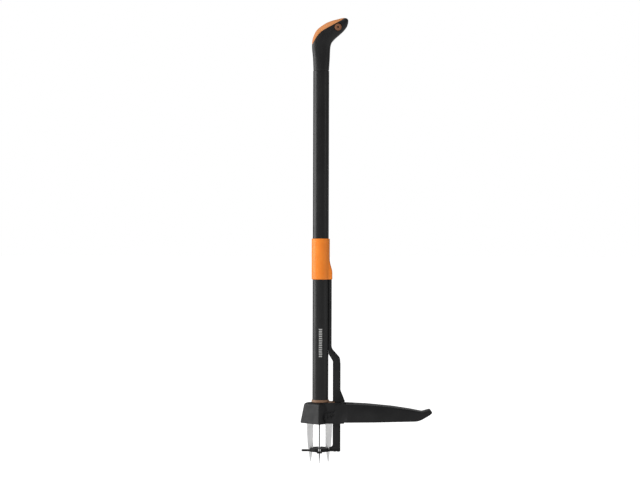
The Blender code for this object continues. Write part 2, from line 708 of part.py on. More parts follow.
def fork_arm(name, side, back):
    """A side arm of the yoke, with an open slot that a pedal peg lifts."""
    peg_z = PIVOT_Z + PEG_OFFSET[1]
    outline = [
        (back, YOKE_BOTTOM), (FORK_CORNER, YOKE_BOTTOM), (FORK_CORNER, peg_z + FORK_SLOT_HALF),
        (ARM_END - 2.7, peg_z + FORK_SLOT_HALF), (ARM_END - 2.7, peg_z - FORK_SLOT_HALF),
        (FORK_START, peg_z - FORK_SLOT_HALF), (FORK_START, FORK_BOTTOM), (ARM_END, FORK_BOTTOM),
        (ARM_END, YOKE_TOP), (back, YOKE_TOP),
    ]
    arm = side_prism(name, outline, (ARM_OUTER - ARM_INNER) / 2)
    arm.location = (0, side * (ARM_OUTER + ARM_INNER) / 2 * MM, 0)
    return arm


def return_spring():
    curve = bpy.data.curves.new("return_spring", "CURVE")
    curve.dimensions = "3D"
    curve.bevel_depth = SPRING_WIRE * MM
    curve.bevel_resolution = 2
    curve.use_fill_caps = True
    per_turn = 12
    count = per_turn * SPRING_TURNS + 1
    low, high = SPRING_BOTTOM + SPRING_WIRE, SPRING_TOP - SPRING_WIRE
    spline = curve.splines.new("POLY")
    spline.points.add(count - 1)
    for i, point in enumerate(spline.points):
        turn = 2 * math.pi * i / per_turn
        x = CLAW_AXIS_X + SPRING_RADIUS * math.cos(turn)
        z = low + (high - low) * i / (count - 1)
        point.co = (x * MM, SPRING_RADIUS * math.sin(turn) * MM, z * MM, 1)
    spring = bpy.data.objects.new("return_spring", curve)
    TOOLS.objects.link(spring)
    part("return_spring", spring, "spring_steel")


# ---------------------------------------------------------------- pedal

def pedal_side():
    """The pedal's outline from the side, from its boss along the top to the tip and back."""
    x, _, z = PEDAL_PIVOT
    boss = []
    for i in range(13):
        turn = math.radians(255 - 195 * i / 12)
        boss.append((x + PEDAL_BOSS * math.cos(turn), z + PEDAL_BOSS * math.sin(turn)))
    top = rounded([boss[-1], (34, 28, 5), (34, 44.2, 4), *PEDAL_RIDGE, (229, 26.0, 14),
                   (246.5, 31.0, 3.5), (252.5, 24.5, 4), (243, 18.0, 25), (221, 5.4, 40), (120, 3.3),
                   (67, 3.0), (34, 3.2), boss[0]])
    return boss + top[1:-1]


def pedal_plan(inner_half, tip_half, start, end, tip_radius):
    half = [(start, -inner_half), (60, -inner_half), (end, -tip_half, tip_radius)]
    return rounded(mirrored(half))


def pedal_channel():
    """The open space between the cheeks: no roof near the head, a roof past it."""
    outline = [(-10, -30), (-10, 90), (PEDAL_ROOF_START, 90), (PEDAL_ROOF_START, 44.3 - PEDAL_TOP_WALL)]
    outline += [(x, z - PEDAL_TOP_WALL) for x, z in PEDAL_RIDGE[1:]]
    outline += [(226, 25.5 - PEDAL_TOP_WALL), (232, 13), (232, -30)]
    channel = side_prism("pedal_channel", outline, 40)
    plan = pedal_plan(CHEEK_INNER, PEDAL_TIP_HALF - PEDAL_WALL + 0.5, -20, 234, 2)
    combine(channel, plan_prism("channel_plan", plan, -60, 120), "INTERSECT")
    return channel


def peg_position():
    return (PEDAL_PIVOT[0] + PEG_OFFSET[0], 0, PIVOT_Z + PEG_OFFSET[1])


def pedal():
    body = side_prism("pedal_body", pedal_side(), 40)
    plan = pedal_plan(CHEEK_OUTER, PEDAL_TIP_HALF, 0, 254, 9)
    combine(body, plan_prism("pedal_plan", plan, -40, 100), "INTERSECT")
    low = (PEDAL_ROOF_START - 10, -PEDAL_SLOT_HALF, 20)
    cut(
        body,
        pedal_channel(),
        box("rod_clearance", low, (PEDAL_SLOT_END, PEDAL_SLOT_HALF, 80)),
        pedal_pin_hole("pedal_pin_hole"),
        cylinder("peg_hole", peg_position(), PEG_RADIUS + GAP, 45, "Y"),
    )
    part("pedal_body", body, "black_plastic")
    coat = "powder_coat"
    pin("pedal_peg_front", PEG_RADIUS, PEG_INNER_END, CHEEK_OUTER, "-Y", peg_position(), coat)
    pin("pedal_peg_rear", PEG_RADIUS, PEG_INNER_END, CHEEK_OUTER, "Y", peg_position(), coat)


def pedal_pin():
    """The pedal's pin with a domed head in front, and the ring that keeps it behind."""
    head, seat = 5.6, CHEEK_OUTER + GAP
    dome = [(head * math.sin(t), seat + 1.2 + 1.8 * math.cos(t)) for t in (0.0, 0.4, 0.8, 1.2, math.pi / 2)]
    groove, groove_top, groove_low, end = 3.0, -seat - 0.2, -seat - 1.6, -seat - 3.0
    profile = dome + [
        (head, seat), (PEDAL_PIN_RADIUS, seat), (PEDAL_PIN_RADIUS, groove_top), (groove, groove_top),
        (groove, groove_low), (PEDAL_PIN_RADIUS, groove_low), (PEDAL_PIN_RADIUS, end), (0, end),
    ]
    part("pedal_pin", turned("pedal_pin", profile, PEDAL_PIVOT, "-Y"), "powder_coat")
    top, low = groove_top - 0.3, groove_low + 0.3
    ring = [(6.4, top), (6.4, low), (groove + 0.3, low), (groove + 0.3, top)]
    clip = turned("pedal_pin_clip", ring, PEDAL_PIVOT, "-Y", closed=True)
    x, _, z = PEDAL_PIVOT
    cut(clip, box("clip_mouth", (x - 2.2, 0, z - 12), (x + 2.2, 60, z)))
    part("pedal_pin_clip", clip, "spring_steel")


# ---------------------------------------------------------------- ejector

def slider_sleeve():
    sleeve = oval("slider_sleeve", SLEEVE_X, SLEEVE_Y, SLEEVE_BOTTOM, SLEEVE_TOP)
    soften(sleeve, 2.0)
    shoe_side = [
        (5, SLEEVE_BOTTOM + 0.5), (SHOE_OUTER, SLEEVE_BOTTOM + 0.5), (SHOE_OUTER, SHOE_TOP),
        (SLEEVE_X - 1.5, SHOE_TOP + SHOE_BLEND), (5, SHOE_TOP + SHOE_BLEND),
    ]
    shoe = side_prism("shoe", shoe_side, SHOE_HALF_WIDTH)
    join(sleeve, soften(shoe, 1.2))
    bore = oval("sleeve_bore", TUBE_X + SLEEVE_RUNNING, TUBE_Y + SLEEVE_RUNNING,
                SLEEVE_BOTTOM - 5, SLEEVE_TOP + 5)
    low = (ROD_INNER_TOP - 2, -ROD_HALF_DEPTH - GAP, SLEEVE_BOTTOM - 5)
    pocket = box("rod_pocket", low, (ROD_OUTER_TOP + GAP, ROD_HALF_DEPTH + GAP, ROD_TOP + GAP))
    cut(sleeve, bore, pocket, *slider_screw_holes())
    return part("slider_sleeve", sleeve, "orange_plastic")


def slider_screw_holes():
    places = SLIDER_SCREWS.items()
    return [cylinder(f"{name}_hole", (SLIDER_SCREW_X, 3, z), 1.7, 9.8, "Y") for name, z in places]


def rod_outline():
    """The rod seen from the side: strip along the shaft, bend, blade, stop and foot."""
    stop_z = HEAD_TOP + 0.7
    return rounded([
        (ROD_OUTER_TOP, ROD_TOP), (ROD_OUTER_TOP, 168, 14), (44.0, 147, 12), (ROD_OUTER, 132, 10),
        (ROD_OUTER, 74, 4), (55.0, 50, 3), (55.0, stop_z), (ROD_OUTER, stop_z),
        (ROD_OUTER, ROD_BOTTOM), (19.9, ROD_BOTTOM), (19.9, ROD_BOTTOM + 1), (ROD_INNER, -58.7, 7.5),
        (ROD_INNER, 139, 8), (ROD_INNER_TOP, 156, 8), (ROD_INNER_TOP, ROD_TOP),
    ])


def ejector_rod():
    rod = side_prism("ejector_rod", rod_outline(), ROD_HALF_DEPTH)
    cut(rod, oval("rod_hollow", TUBE_X + ROD_RUNNING, TUBE_Y + ROD_RUNNING, 100, ROD_TOP + 20))
    cut(rod, *slider_screw_holes())
    cut(rod, box("claw_gap", (0, -STAR_SLOT_HALF, -90), (27.4, STAR_SLOT_HALF, -30)))
    for name, x in PLATE_SCREWS.items():
        cut(rod, cylinder(f"{name}_thread", (x, 0, ROD_BOTTOM), 1.8, 9))
    return part("ejector_rod", rod, "black_plastic")


def ejector_plate():
    bottom = STAR_TOP - STAR_THICKNESS
    middle = (CLAW_AXIS_X, 0, STAR_TOP - STAR_THICKNESS / 2)
    star = cylinder("ejector_plate", middle, STAR_RADIUS, STAR_THICKNESS / 2, steps=OVAL_STEPS)
    half = STAR_ARM_HALF
    across = box("arms_x", (CLAW_AXIS_X - STAR_ARM, -half, bottom), (ROD_OUTER, half, STAR_TOP))
    along = box("arms_y", (CLAW_AXIS_X - half, -STAR_ARM, bottom), (CLAW_AXIS_X + half, STAR_ARM, STAR_TOP))
    hub_middle = (CLAW_AXIS_X, 0, (HUB_TOP + bottom + 1) / 2)
    hub = cylinder("hub", hub_middle, HUB_RADIUS, (HUB_TOP - bottom - 1) / 2, steps=OVAL_STEPS)
    join(star, across, along, hub)
    slots = cross_slots("star_slot", STAR_SLOT_HALF, STAR_SLOT_END, bottom - 5, STAR_TOP + 5)
    cut(star, *slots)
    for name, x in PLATE_SCREWS.items():
        cut(star, cylinder(f"{name}_hole", (x, 0, bottom), 1.8, 10))
    return part("ejector_plate", star, "powder_coat")


def ejector():
    pieces = [slider_sleeve(), ejector_rod(), ejector_plate()]
    for name, z in SLIDER_SCREWS.items():
        place = (SLIDER_SCREW_X, 0, z)
        pieces.append(pan_screw(name, (2.6, 1.6), 1.4, SHOE_HALF_WIDTH + GAP, 14.8, place, "Y"))
    for name, x in PLATE_SCREWS.items():
        seat = -(STAR_TOP - STAR_THICKNESS) + GAP
        pieces.append(pan_screw(name, (2.7, 1.4), 1.5, seat, 12, (x, 0, 0), "-Z"))
    return pieces


# ---------------------------------------------------------------- assembly

def build():
    shaft()
    handle()
    collar()
    housing_cover()
    rod_guide()
    base_plate()
    claw_carrier()
    claws()
    claw_actuator()
    return_spring()
    pedal()
    pedal_pin()
    ejector_pieces = ejector()
    swinging = [PARTS.objects[name] for name in ("pedal_body", "pedal_peg_front", "pedal_peg_rear")]
    pivot("pedal_axis", PEDAL_PIVOT, swinging)
    pivot("actuator_axis", (CLAW_AXIS_X, 0, PIVOT_Z), [PARTS.objects["claw_actuator"]])
    pivot("ejector_axis", (0, 0, SLEEVE_BOTTOM), ejector_pieces)


build()
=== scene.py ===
"""Looks of the stand up weeder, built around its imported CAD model. Sizes here are in millimetres."""
import json
import math

import bmesh
import bpy
from mathutils import Matrix, Vector


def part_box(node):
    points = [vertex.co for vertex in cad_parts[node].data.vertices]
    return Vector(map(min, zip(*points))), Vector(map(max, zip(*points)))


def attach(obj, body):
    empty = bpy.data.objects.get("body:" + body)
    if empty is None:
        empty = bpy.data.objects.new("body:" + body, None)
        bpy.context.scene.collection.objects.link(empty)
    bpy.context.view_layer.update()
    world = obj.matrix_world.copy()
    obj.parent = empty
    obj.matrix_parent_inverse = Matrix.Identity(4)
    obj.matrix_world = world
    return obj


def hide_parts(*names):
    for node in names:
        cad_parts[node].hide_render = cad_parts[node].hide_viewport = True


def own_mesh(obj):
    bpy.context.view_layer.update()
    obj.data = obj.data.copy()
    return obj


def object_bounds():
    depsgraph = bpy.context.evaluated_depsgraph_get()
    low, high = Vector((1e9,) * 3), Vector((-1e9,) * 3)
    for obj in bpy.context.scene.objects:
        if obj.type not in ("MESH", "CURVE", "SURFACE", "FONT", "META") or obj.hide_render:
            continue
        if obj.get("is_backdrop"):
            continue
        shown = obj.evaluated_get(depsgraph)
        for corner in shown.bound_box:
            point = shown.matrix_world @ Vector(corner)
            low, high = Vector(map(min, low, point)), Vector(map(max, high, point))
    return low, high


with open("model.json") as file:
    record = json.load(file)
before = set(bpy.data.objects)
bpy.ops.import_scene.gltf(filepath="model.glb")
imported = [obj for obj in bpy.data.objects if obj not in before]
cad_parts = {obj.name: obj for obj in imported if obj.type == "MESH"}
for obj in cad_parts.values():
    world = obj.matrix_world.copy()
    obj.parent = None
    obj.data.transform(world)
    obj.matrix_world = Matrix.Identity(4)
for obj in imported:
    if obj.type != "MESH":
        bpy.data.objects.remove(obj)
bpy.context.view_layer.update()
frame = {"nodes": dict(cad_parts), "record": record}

MM = 0.001
GAP = 0.3       # clearance between parts
SHARP = 32      # an edge that turns by more than this many degrees is a crease
BODY_OF = {node: body for body, nodes in frame["record"]["behaviour"]["bodies"].items() for node in nodes}


def extent(node):
    """A CAD node's lowest and highest corners, in millimetres."""
    low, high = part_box(node)
    return low / MM, high / MM


# ---------- materials

class Material:
    """A Principled material whose pattern comes from noise in the object's own space."""

    def __init__(self, name, roughness, metallic=0.0, stretch=(1, 1, 1)):
        self.made = bpy.data.materials.new(name)
        self.made.use_nodes = True
        self.tree = self.made.node_tree
        self.shader = self.tree.nodes["Principled BSDF"]
        self.shader.inputs["Roughness"].default_value = roughness
        self.shader.inputs["Metallic"].default_value = metallic
        self.coordinates = self.node("ShaderNodeTexCoord").outputs["Object"]
        mapping = self.node("ShaderNodeMapping")
        mapping.inputs["Scale"].default_value = stretch
        self.link(self.coordinates, mapping.inputs["Vector"])
        self.place = mapping.outputs["Vector"]

    def node(self, kind, **settings):
        made = self.tree.nodes.new(kind)
        for key, value in settings.items():
            setattr(made, key, value)
        return made

    def link(self, source, target):
        self.tree.links.new(source, target)

    def noise(self, scale, detail=3.0, stretched=True):
        made = self.node("ShaderNodeTexNoise")
        made.inputs["Scale"].default_value = scale
        made.inputs["Detail"].default_value = detail
        self.link(self.place if stretched else self.coordinates, made.inputs["Vector"])
        return made.outputs["Fac"]

    def ranged(self, value, low, high, to_low, to_high):
        made = self.node("ShaderNodeMapRange")
        for key, number in (("From Min", low), ("From Max", high), ("To Min", to_low), ("To Max", to_high)):
            made.inputs[key].default_value = number
        self.link(value, made.inputs["Value"])
        return made.outputs["Result"]

    def math(self, operation, first, second):
        made = self.node("ShaderNodeMath", operation=operation)
        for socket, value in zip(made.inputs, (first, second)):
            if isinstance(value, (int, float)):
                socket.default_value = value
            else:
                self.link(value, socket)
        return made.outputs["Value"]

    def mixed(self, share, first, second):
        made = self.node("ShaderNodeMix", data_type="RGBA")
        self.link(share, made.inputs[0])
        for socket, value in ((made.inputs[6], first), (made.inputs[7], second)):
            if isinstance(value, tuple):
                socket.default_value = (*value, 1)
            else:
                self.link(value, socket)
        return made.outputs[2]

    def edges(self):
        """Convex edges, broken up by noise, where handling rubs the finish."""
        rubbed = self.ranged(self.node("ShaderNodeNewGeometry").outputs["Pointiness"], 0.53, 0.62, 0, 1)
        return self.math("MULTIPLY", rubbed, self.ranged(self.noise(140, 4, False), 0.35, 0.65, 0.1, 1))

    def bump(self, *layers):
        """Each layer is (height, depth in millimetres), the finest first."""
        normal = None
        for height, depth in layers:
            made = self.node("ShaderNodeBump")
            made.inputs["Strength"].default_value = 1.0
            made.inputs["Distance"].default_value = depth * MM
            self.link(height, made.inputs["Height"])
            if normal:
                self.link(normal, made.inputs["Normal"])
            normal = made.outputs["Normal"]
        self.link(normal, self.shader.inputs["Normal"])

    def finish(self, colour, roughness):
        self.link(colour, self.shader.inputs["Base Color"])
        self.link(roughness, self.shader.inputs["Roughness"])
        return self.made


def moulded(name, colours, roughness, grain=1100, depth=0.035, subsurface=0.0, specular=0.5):
    """Moulded plastic with a spark-eroded grain, slight blotches and rubbed edges.

    colours are those of the dark blotches, the light ones and the rubbed edges.
    """
    dark, light, worn = colours
    m = Material(name, roughness)
    m.shader.inputs["Specular IOR Level"].default_value = specular
    if subsurface:
        m.shader.inputs["Subsurface Weight"].default_value = subsurface
        m.shader.inputs["Subsurface Scale"].default_value = 0.003
    blotch = m.noise(28, 4)
    colour = m.mixed(m.ranged(blotch, 0.35, 0.65, 0, 1), dark, light)
    edges = m.edges()
    colour = m.mixed(m.math("MULTIPLY", edges, 0.6), colour, worn)
    rough = m.math("SUBTRACT", m.ranged(m.noise(70, 5), 0.3, 0.7, roughness - 0.08, roughness + 0.08),
                   m.math("MULTIPLY", edges, 0.08))
    m.bump((m.noise(grain, 2), depth), (m.noise(90, 2), 0.03))
    return m.finish(colour, rough)


def metal(name, dark, light, roughness, brush, stretch=(1, 1, 1), anisotropy=0.0):
    """Bare metal. brush is the scale of its fine marks, and stretch draws them out along an axis."""
    m = Material(name, roughness, 1.0, stretch)
    if anisotropy:
        m.shader.inputs["Anisotropic"].default_value = anisotropy
    fine = m.noise(brush, 3)
    colour = m.mixed(m.ranged(m.noise(45, 4, False), 0.35, 0.65, 0, 1), dark, light)
    rough = m.math("ADD", m.ranged(fine, 0.3, 0.7, roughness - 0.07, roughness + 0.07),
                   m.ranged(m.noise(30, 4, False), 0.4, 0.7, 0, 0.08))
    m.bump((fine, 0.012), (m.noise(60, 2, False), 0.01))
    return m.finish(colour, rough)


def coated(name, dark, light, roughness, specular, bars=None):
    """Powder coat: a fine orange-peel skin, and on one tube a printed row of bars."""
    m = Material(name, roughness)
    m.shader.inputs["Specular IOR Level"].default_value = specular
    colour = m.mixed(m.ranged(m.noise(16, 4), 0.35, 0.65, 0, 1), dark, light)
    specks = m.ranged(m.noise(900, 1, False), 0.7, 0.78, 0, 0.35)
    colour = m.mixed(specks, colour, (0.03, 0.03, 0.031))
    rough = m.ranged(m.noise(11, 5, False), 0.35, 0.7, roughness - 0.05, roughness + 0.09)
    if bars:
        half, low, high, pitch = bars
        split = m.node("ShaderNodeSeparateXYZ")
        m.link(m.coordinates, split.inputs["Vector"])
        x, y, z = split.outputs
        inside = m.math("COMPARE", x, 0.0)
        inside.node.inputs[2].default_value = half * MM
        front = m.math("LESS_THAN", y, 0.0)
        middle = m.math("COMPARE", z, (low + high) / 2 * MM)
        middle.node.inputs[2].default_value = (high - low) / 2 * MM
        phase = m.math("FRACT", m.math("DIVIDE", m.math("SUBTRACT", z, low * MM), pitch * MM), 0.0)
        bar = m.math("LESS_THAN", phase, BAR_SHARE)
        mask = m.math("MULTIPLY", m.math("MULTIPLY", inside, front), m.math("MULTIPLY", middle, bar))
        mask = m.math("MULTIPLY", mask, m.ranged(m.noise(600, 3, False), 0.3, 0.5, 0.75, 1))
        colour = m.mixed(mask, colour, PRINT)
    m.bump((m.noise(1500, 2), 0.003), (m.noise(260, 2), 0.006))
    return m.finish(colour, rough)


PRINT = (0.33, 0.33, 0.32)
BARS, BAR_SHARE = (3.6, 149, 214, 5.0), 0.62    # half width, low, high and pitch; the printed part of it
BLACK = ((0.0075, 0.0075, 0.0078), (0.0115, 0.0115, 0.0118), (0.035, 0.035, 0.036))
HANDLE = ((0.0042, 0.0042, 0.0044), (0.0068, 0.0068, 0.007), (0.03, 0.03, 0.031))
ORANGE = ((0.69, 0.178, 0.014), (0.76, 0.216, 0.021), (0.85, 0.38, 0.13))
GRIP = ((0.45, 0.172, 0.055), (0.53, 0.215, 0.078), (0.68, 0.37, 0.19))
# the hanging eyelet is orange plastic; its colours, blotches and rubbed edges alike, are a dark brown:
# painted shade of the hole's recess
RING_PAINTED_SHADE = ((0.13, 0.054, 0.026), (0.175, 0.075, 0.036), (0.32, 0.21, 0.15))
# the shaft collar and its tongue are orange plastic; their colours are a muted brown: painted shade on the
# thin band between the black tube and head
COLLAR_PAINTED_SHADE = ((0.18, 0.098, 0.056), (0.22, 0.122, 0.07), (0.32, 0.22, 0.16))
COAT, COAT_LIGHT = (0.0032, 0.0032, 0.0034), (0.0055, 0.0055, 0.0057)
MATERIALS = {
    "tube_coat": coated("tube_coat", COAT, COAT_LIGHT, 0.35, 0.42, BARS),
    "plate_coat": coated("plate_coat", COAT, COAT_LIGHT, 0.45, 0.3),
    "head_plastic": moulded("head_plastic", BLACK, 0.46, specular=0.3),
    "pedal_plastic": moulded("pedal_plastic", BLACK, 0.50, specular=0.25),
    "handle_plastic": moulded("handle_plastic", HANDLE, 0.42, grain=1400, depth=0.02, specular=0.38),
    "rod_plastic": moulded("rod_plastic", BLACK, 0.42, specular=0.28),
    "inner_plastic": moulded("inner_plastic", BLACK, 0.55, grain=700, specular=0.25),
    "slider_orange": moulded("slider_orange", ORANGE, 0.42, depth=0.018, subsurface=0.08, specular=0.36),
    "grip_orange": moulded("grip_orange", GRIP, 0.60, grain=650, depth=0.09, subsurface=0.05, specular=0.35),
    "ring_orange_painted_shade": moulded("ring_orange_painted_shade", RING_PAINTED_SHADE, 0.50, specular=0.3),
    "collar_orange_painted_shade": moulded("collar_orange_painted_shade", COLLAR_PAINTED_SHADE, 0.48, specular=0.4),
    "claw_steel": metal("claw_steel", (0.84, 0.84, 0.84), (0.93, 0.93, 0.92), 0.36, 900, (1, 1, 0.05), 0.3),
    # near-black steel for the claws' edge faces: a painted dark reflection, as the edges are the same bright
    # stainless as the blades
    "claw_edge_painted_shade": metal("claw_edge_painted_shade", (0.03, 0.03, 0.032), (0.055, 0.055, 0.057), 0.42, 700),
    "zinc": metal("zinc", (0.44, 0.45, 0.47), (0.60, 0.60, 0.61), 0.34, 700),
    "spring": metal("spring", (0.22, 0.22, 0.24), (0.36, 0.36, 0.38), 0.30, 900),
}


# ---------- meshes, in millimetres

def placed(name, bm, sharp=SHARP):
    bmesh.ops.remove_doubles(bm, verts=bm.verts, dist=2e-7)
    bmesh.ops.dissolve_degenerate(bm, edges=bm.edges, dist=1e-7)
    bmesh.ops.recalc_face_normals(bm, faces=bm.faces)
    mesh = bpy.data.meshes.new(name)
    bm.to_mesh(mesh)
    bm.free()
    mesh.shade_smooth()
    mesh.set_sharp_from_angle(angle=math.radians(sharp))
    obj = bpy.data.objects.new(name, mesh)
    bpy.context.scene.collection.objects.link(obj)
    return obj


def skin(name, rings, closed=False, caps=True, sharp=SHARP):
    """A surface through rings that have the same number of points."""
    bm = bmesh.new()
    rows = [[bm.verts.new(Vector(point) * MM) for point in ring] for ring in rings]
    count = len(rows[0])
    pairs = list(zip(rows, rows[1:])) + ([(rows[-1], rows[0])] if closed else [])
    for first, second in pairs:
        for i in range(count):
            j = (i + 1) % count
            bm.faces.new((first[i], first[j], second[j], second[i]))
    if caps and not closed:
        bm.faces.new(reversed(rows[0]))
        bm.faces.new(rows[-1])
    return placed(name, bm, sharp)


def apply(obj):
    """Turns an object's modifiers into its mesh."""
    bpy.context.view_layer.update()
    evaluated = obj.evaluated_get(bpy.context.evaluated_depsgraph_get())
    mesh, old = bpy.data.meshes.new_from_object(evaluated), obj.data
    obj.modifiers.clear()
    obj.data = mesh
    bpy.data.meshes.remove(old)
    return obj


def carve(obj, *cutters, operation="DIFFERENCE"):
    """Cuts obj with other meshes, or joins them to it, and uses them up."""
    for cutter in cutters:
        step = obj.modifiers.new("carve", "BOOLEAN")
        step.operation, step.object, step.solver = operation, cutter, "EXACT"
    apply(obj)
    for cutter in cutters:
        bpy.data.objects.remove(cutter, do_unlink=True)
    obj.data.shade_smooth()
    obj.data.set_sharp_from_angle(angle=math.radians(SHARP))
    return obj


def join(obj, *others):
    return carve(obj, *others, operation="UNION")


def soften(obj, width, segments=3):
    """Rounds the edges that turn by more than 38 degrees."""
    bevel = obj.modifiers.new("edges", "BEVEL")
    bevel.width, bevel.segments = width * MM, segments
    bevel.limit_method, bevel.angle_limit = "ANGLE", math.radians(38)
    bevel.use_clamp_overlap = True
    bevel.miter_outer = "MITER_ARC"
    normals = obj.modifiers.new("normals", "WEIGHTED_NORMAL")
    normals.keep_sharp = False
    normals.weight = 90
    return obj


def fillet(before, corner, after, radius, steps):
    """The arc that rounds a corner between two neighbouring points."""
    corner = Vector(corner)
    to_before, to_after = (Vector(before) - corner).normalized(), (Vector(after) - corner).normalized()
    half = to_before.angle(to_after) / 2
    centre = corner + (to_before + to_after).normalized() * radius / math.sin(half)
    start = corner + to_before * radius / math.tan(half) - centre
    end = corner + to_after * radius / math.tan(half) - centre
    sweep = math.atan2(start.x * end.y - start.y * end.x, start.dot(end))
    return [tuple(centre + Matrix.Rotation(sweep * i / steps, 2) @ start) for i in range(steps + 1)]


def rounded(corners, steps=8):
    """An outline from corners given as (x, y) or, with a fillet, (x, y, radius)."""
    points = []
    for i, corner in enumerate(corners):
        if len(corner) == 2:
            points.append(corner)
            continue
        before, after = corners[i - 1][:2], corners[(i + 1) % len(corners)][:2]
        points += fillet(before, corner[:2], after, corner[2], steps)
    return points


def mirrored(corners):
    """Half an outline, with y below 0, and its mirror image."""
    return corners + [(x, -y, *rest) for x, y, *rest in reversed(corners) if y != 0]


def side_prism(name, outline, low, high):
    """An outline seen from the side, as (x, z), between two values of y."""
    return skin(name, [[(x, y, z) for x, z in outline] for y in (low, high)])


def plan_prism(name, outline, low, high):
    """An outline seen from above, as (x, y), between two heights."""
    return skin(name, [[(x, y, z) for x, y in outline] for z in (low, high)])


def box(name, low, high):
    outline = [(low[0], low[1]), (high[0], low[1]), (high[0], high[1]), (low[0], high[1])]
    return plan_prism(name, outline, low[2], high[2])


DIRECTIONS = {"X": (1, 0, 0), "Y": (0, 1, 0), "Z": (0, 0, 1), "-Y": (0, -1, 0), "-Z": (0, 0, -1)}


def along(axis, centre):
    """Maps (x, y, height), with height along the axis, into the frame."""
    turn = Vector((0, 0, 1)).rotation_difference(Vector(DIRECTIONS[axis])).to_matrix()
    if axis == "-Z":
        turn = Matrix.Rotation(math.pi, 3, "X")
    return lambda point: Vector(centre) + turn @ Vector(point)


def circle(radius, height, steps):
    spins = [2 * math.pi * i / steps for i in range(steps)]
    return [(radius * math.cos(t), radius * math.sin(t), height) for t in spins]


def turned(name, profile, centre, axis="Z", steps=48, closed=False):
    """A turned piece. The profile is (radius, height), and ends on the axis unless it is closed."""
    place = along(axis, centre)
    rings = [[place(point) for point in circle(max(r, 1e-6), h, steps)] for r, h in profile]
    return skin(name, rings, closed=closed, caps=False)


def rod_tool(centre, radius, half, axis="Y", steps=48):
    """A round cutter, half long on each side of its centre."""
    return turned("tool", [(0, half), (radius, half), (radius, -half), (0, -half)], centre, axis, steps)


def corner_arc(x, y, radius, start, end, steps=5):
    """Points of an arc about (x, y), with its angles in degrees."""
    spins = [math.radians(start + (end - start) * i / steps) for i in range(steps + 1)]
    return [(x + radius * math.cos(t), y + radius * math.sin(t)) for t in spins]


def oval_turned(name, a, b, profile, closed=True):
    """Oval rings: the profile is (offset from the half widths a and b, height)."""
    spins = [2 * math.pi * i / 96 for i in range(96)]
    rings = [[((a + o) * math.cos(t), (b + o) * math.sin(t), z) for t in spins] for o, z in profile]
    return skin(name, rings, closed=closed, caps=not closed)


def smooth_line(values, per_step):
    """A Catmull-Rom curve through numbers or vectors."""
    made = []
    last = len(values) - 1
    for i in range(last):
        p0, p1, p2, p3 = (values[min(max(k, 0), last)] for k in (i - 1, i, i + 1, i + 2))
        for k in range(per_step):
            t = k / per_step
            made.append((p1 * 2 + (p2 - p0) * t + (p0 * 2 - p1 * 5 + p2 * 4 - p3) * t * t
                         + (p1 * 3 - p0 - p2 * 3 + p3) * t * t * t) * 0.5)
    return made + [values[-1]]


def smooth_step(value, low, high):
    t = min(max((value - low) / (high - low), 0), 1)
    return t * t * (3 - 2 * t)


def keep(obj, material, slot, *nodes):
    """Gives a piece its finish and its body, and hides the CAD nodes that it stands for."""
    obj.data.materials.clear()
    obj.data.materials.append(MATERIALS[material])
    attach(obj, BODY_OF[nodes[0]])
    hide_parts(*nodes)
    return obj


def add_on(obj, material, body):
    """The same for a piece that stands for no CAD node."""
    obj.data.materials.clear()
    obj.data.materials.append(MATERIALS[material])
    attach(obj, body)
    return obj


# ---------- screws and pins

THREAD_PITCH = 0.9


def screw(name, node, centre, axis, head, shank, seat, length):
    """A pan-head screw with a cross recess. head is (radius, height); seat is its underside."""
    radius, height = head
    top = seat + height
    dome = [(radius * math.sin(t), seat + height * 0.4 + height * 0.6 * math.cos(t))
            for t in (0, 0.25, 0.5, 0.75, 1.0, 1.25, math.pi / 2)]
    threads = []
    depth = seat - 1.2
    while depth > seat - length + 1.5:
        threads += [(shank, depth), (shank * 0.84, depth - THREAD_PITCH / 2)]
        depth -= THREAD_PITCH
    profile = dome + [(radius, seat + 0.1), (radius - 0.1, seat), (shank, seat)] + threads
    profile += [(shank * 0.8, seat - length + 0.5), (0, seat - length)]
    obj = turned(name, profile, centre, axis, 32)
    place = along(axis, centre)
    arm, half = radius * 0.55, radius * 0.13
    for across in ((arm, half), (half, arm)):
        outline = [(sx * across[0], sy * across[1]) for sx, sy in ((-1, -1), (1, -1), (1, 1), (-1, 1))]
        rings = [[place((x * k, y * k, h)) for x, y in outline]
                 for k, h in ((0.45, top - height * 0.85), (1, top + 0.5))]
        obj = carve(obj, skin("recess", rings))
    return keep(obj, "zinc", "zinc", node)


def plain_pin(name, node, radius, start, end, axis, centre, material, slot):
    edge = 0.35     # chamfer
    profile = [(0, end), (radius - edge, end), (radius, end - edge), (radius, start + edge),
               (radius - edge, start), (0, start)]
    return keep(turned(name, profile, centre, axis, 40), material, slot, node)


# ---------- shaft and handle

TUBE_X, TUBE_Y, TUBE_WALL = 18.0, 15.0, 1.8


def shaft():
    low, high = extent("shaft_tube")
    bottom, top = low.z, high.z
    profile = [(-0.4, bottom), (0, bottom + 0.5)]
    profile += [(0, bottom + (top - bottom) * k / 24) for k in range(1, 24)]
    profile += [(0, top - 0.5), (-0.4, top), (-TUBE_WALL + 0.4, top), (-TUBE_WALL, top - 0.5),
                (-TUBE_WALL, bottom + 0.5), (-TUBE_WALL + 0.4, bottom)]
    keep(oval_turned("tube", TUBE_X, TUBE_Y, profile), "tube_coat", "powder_coat", "shaft_tube")


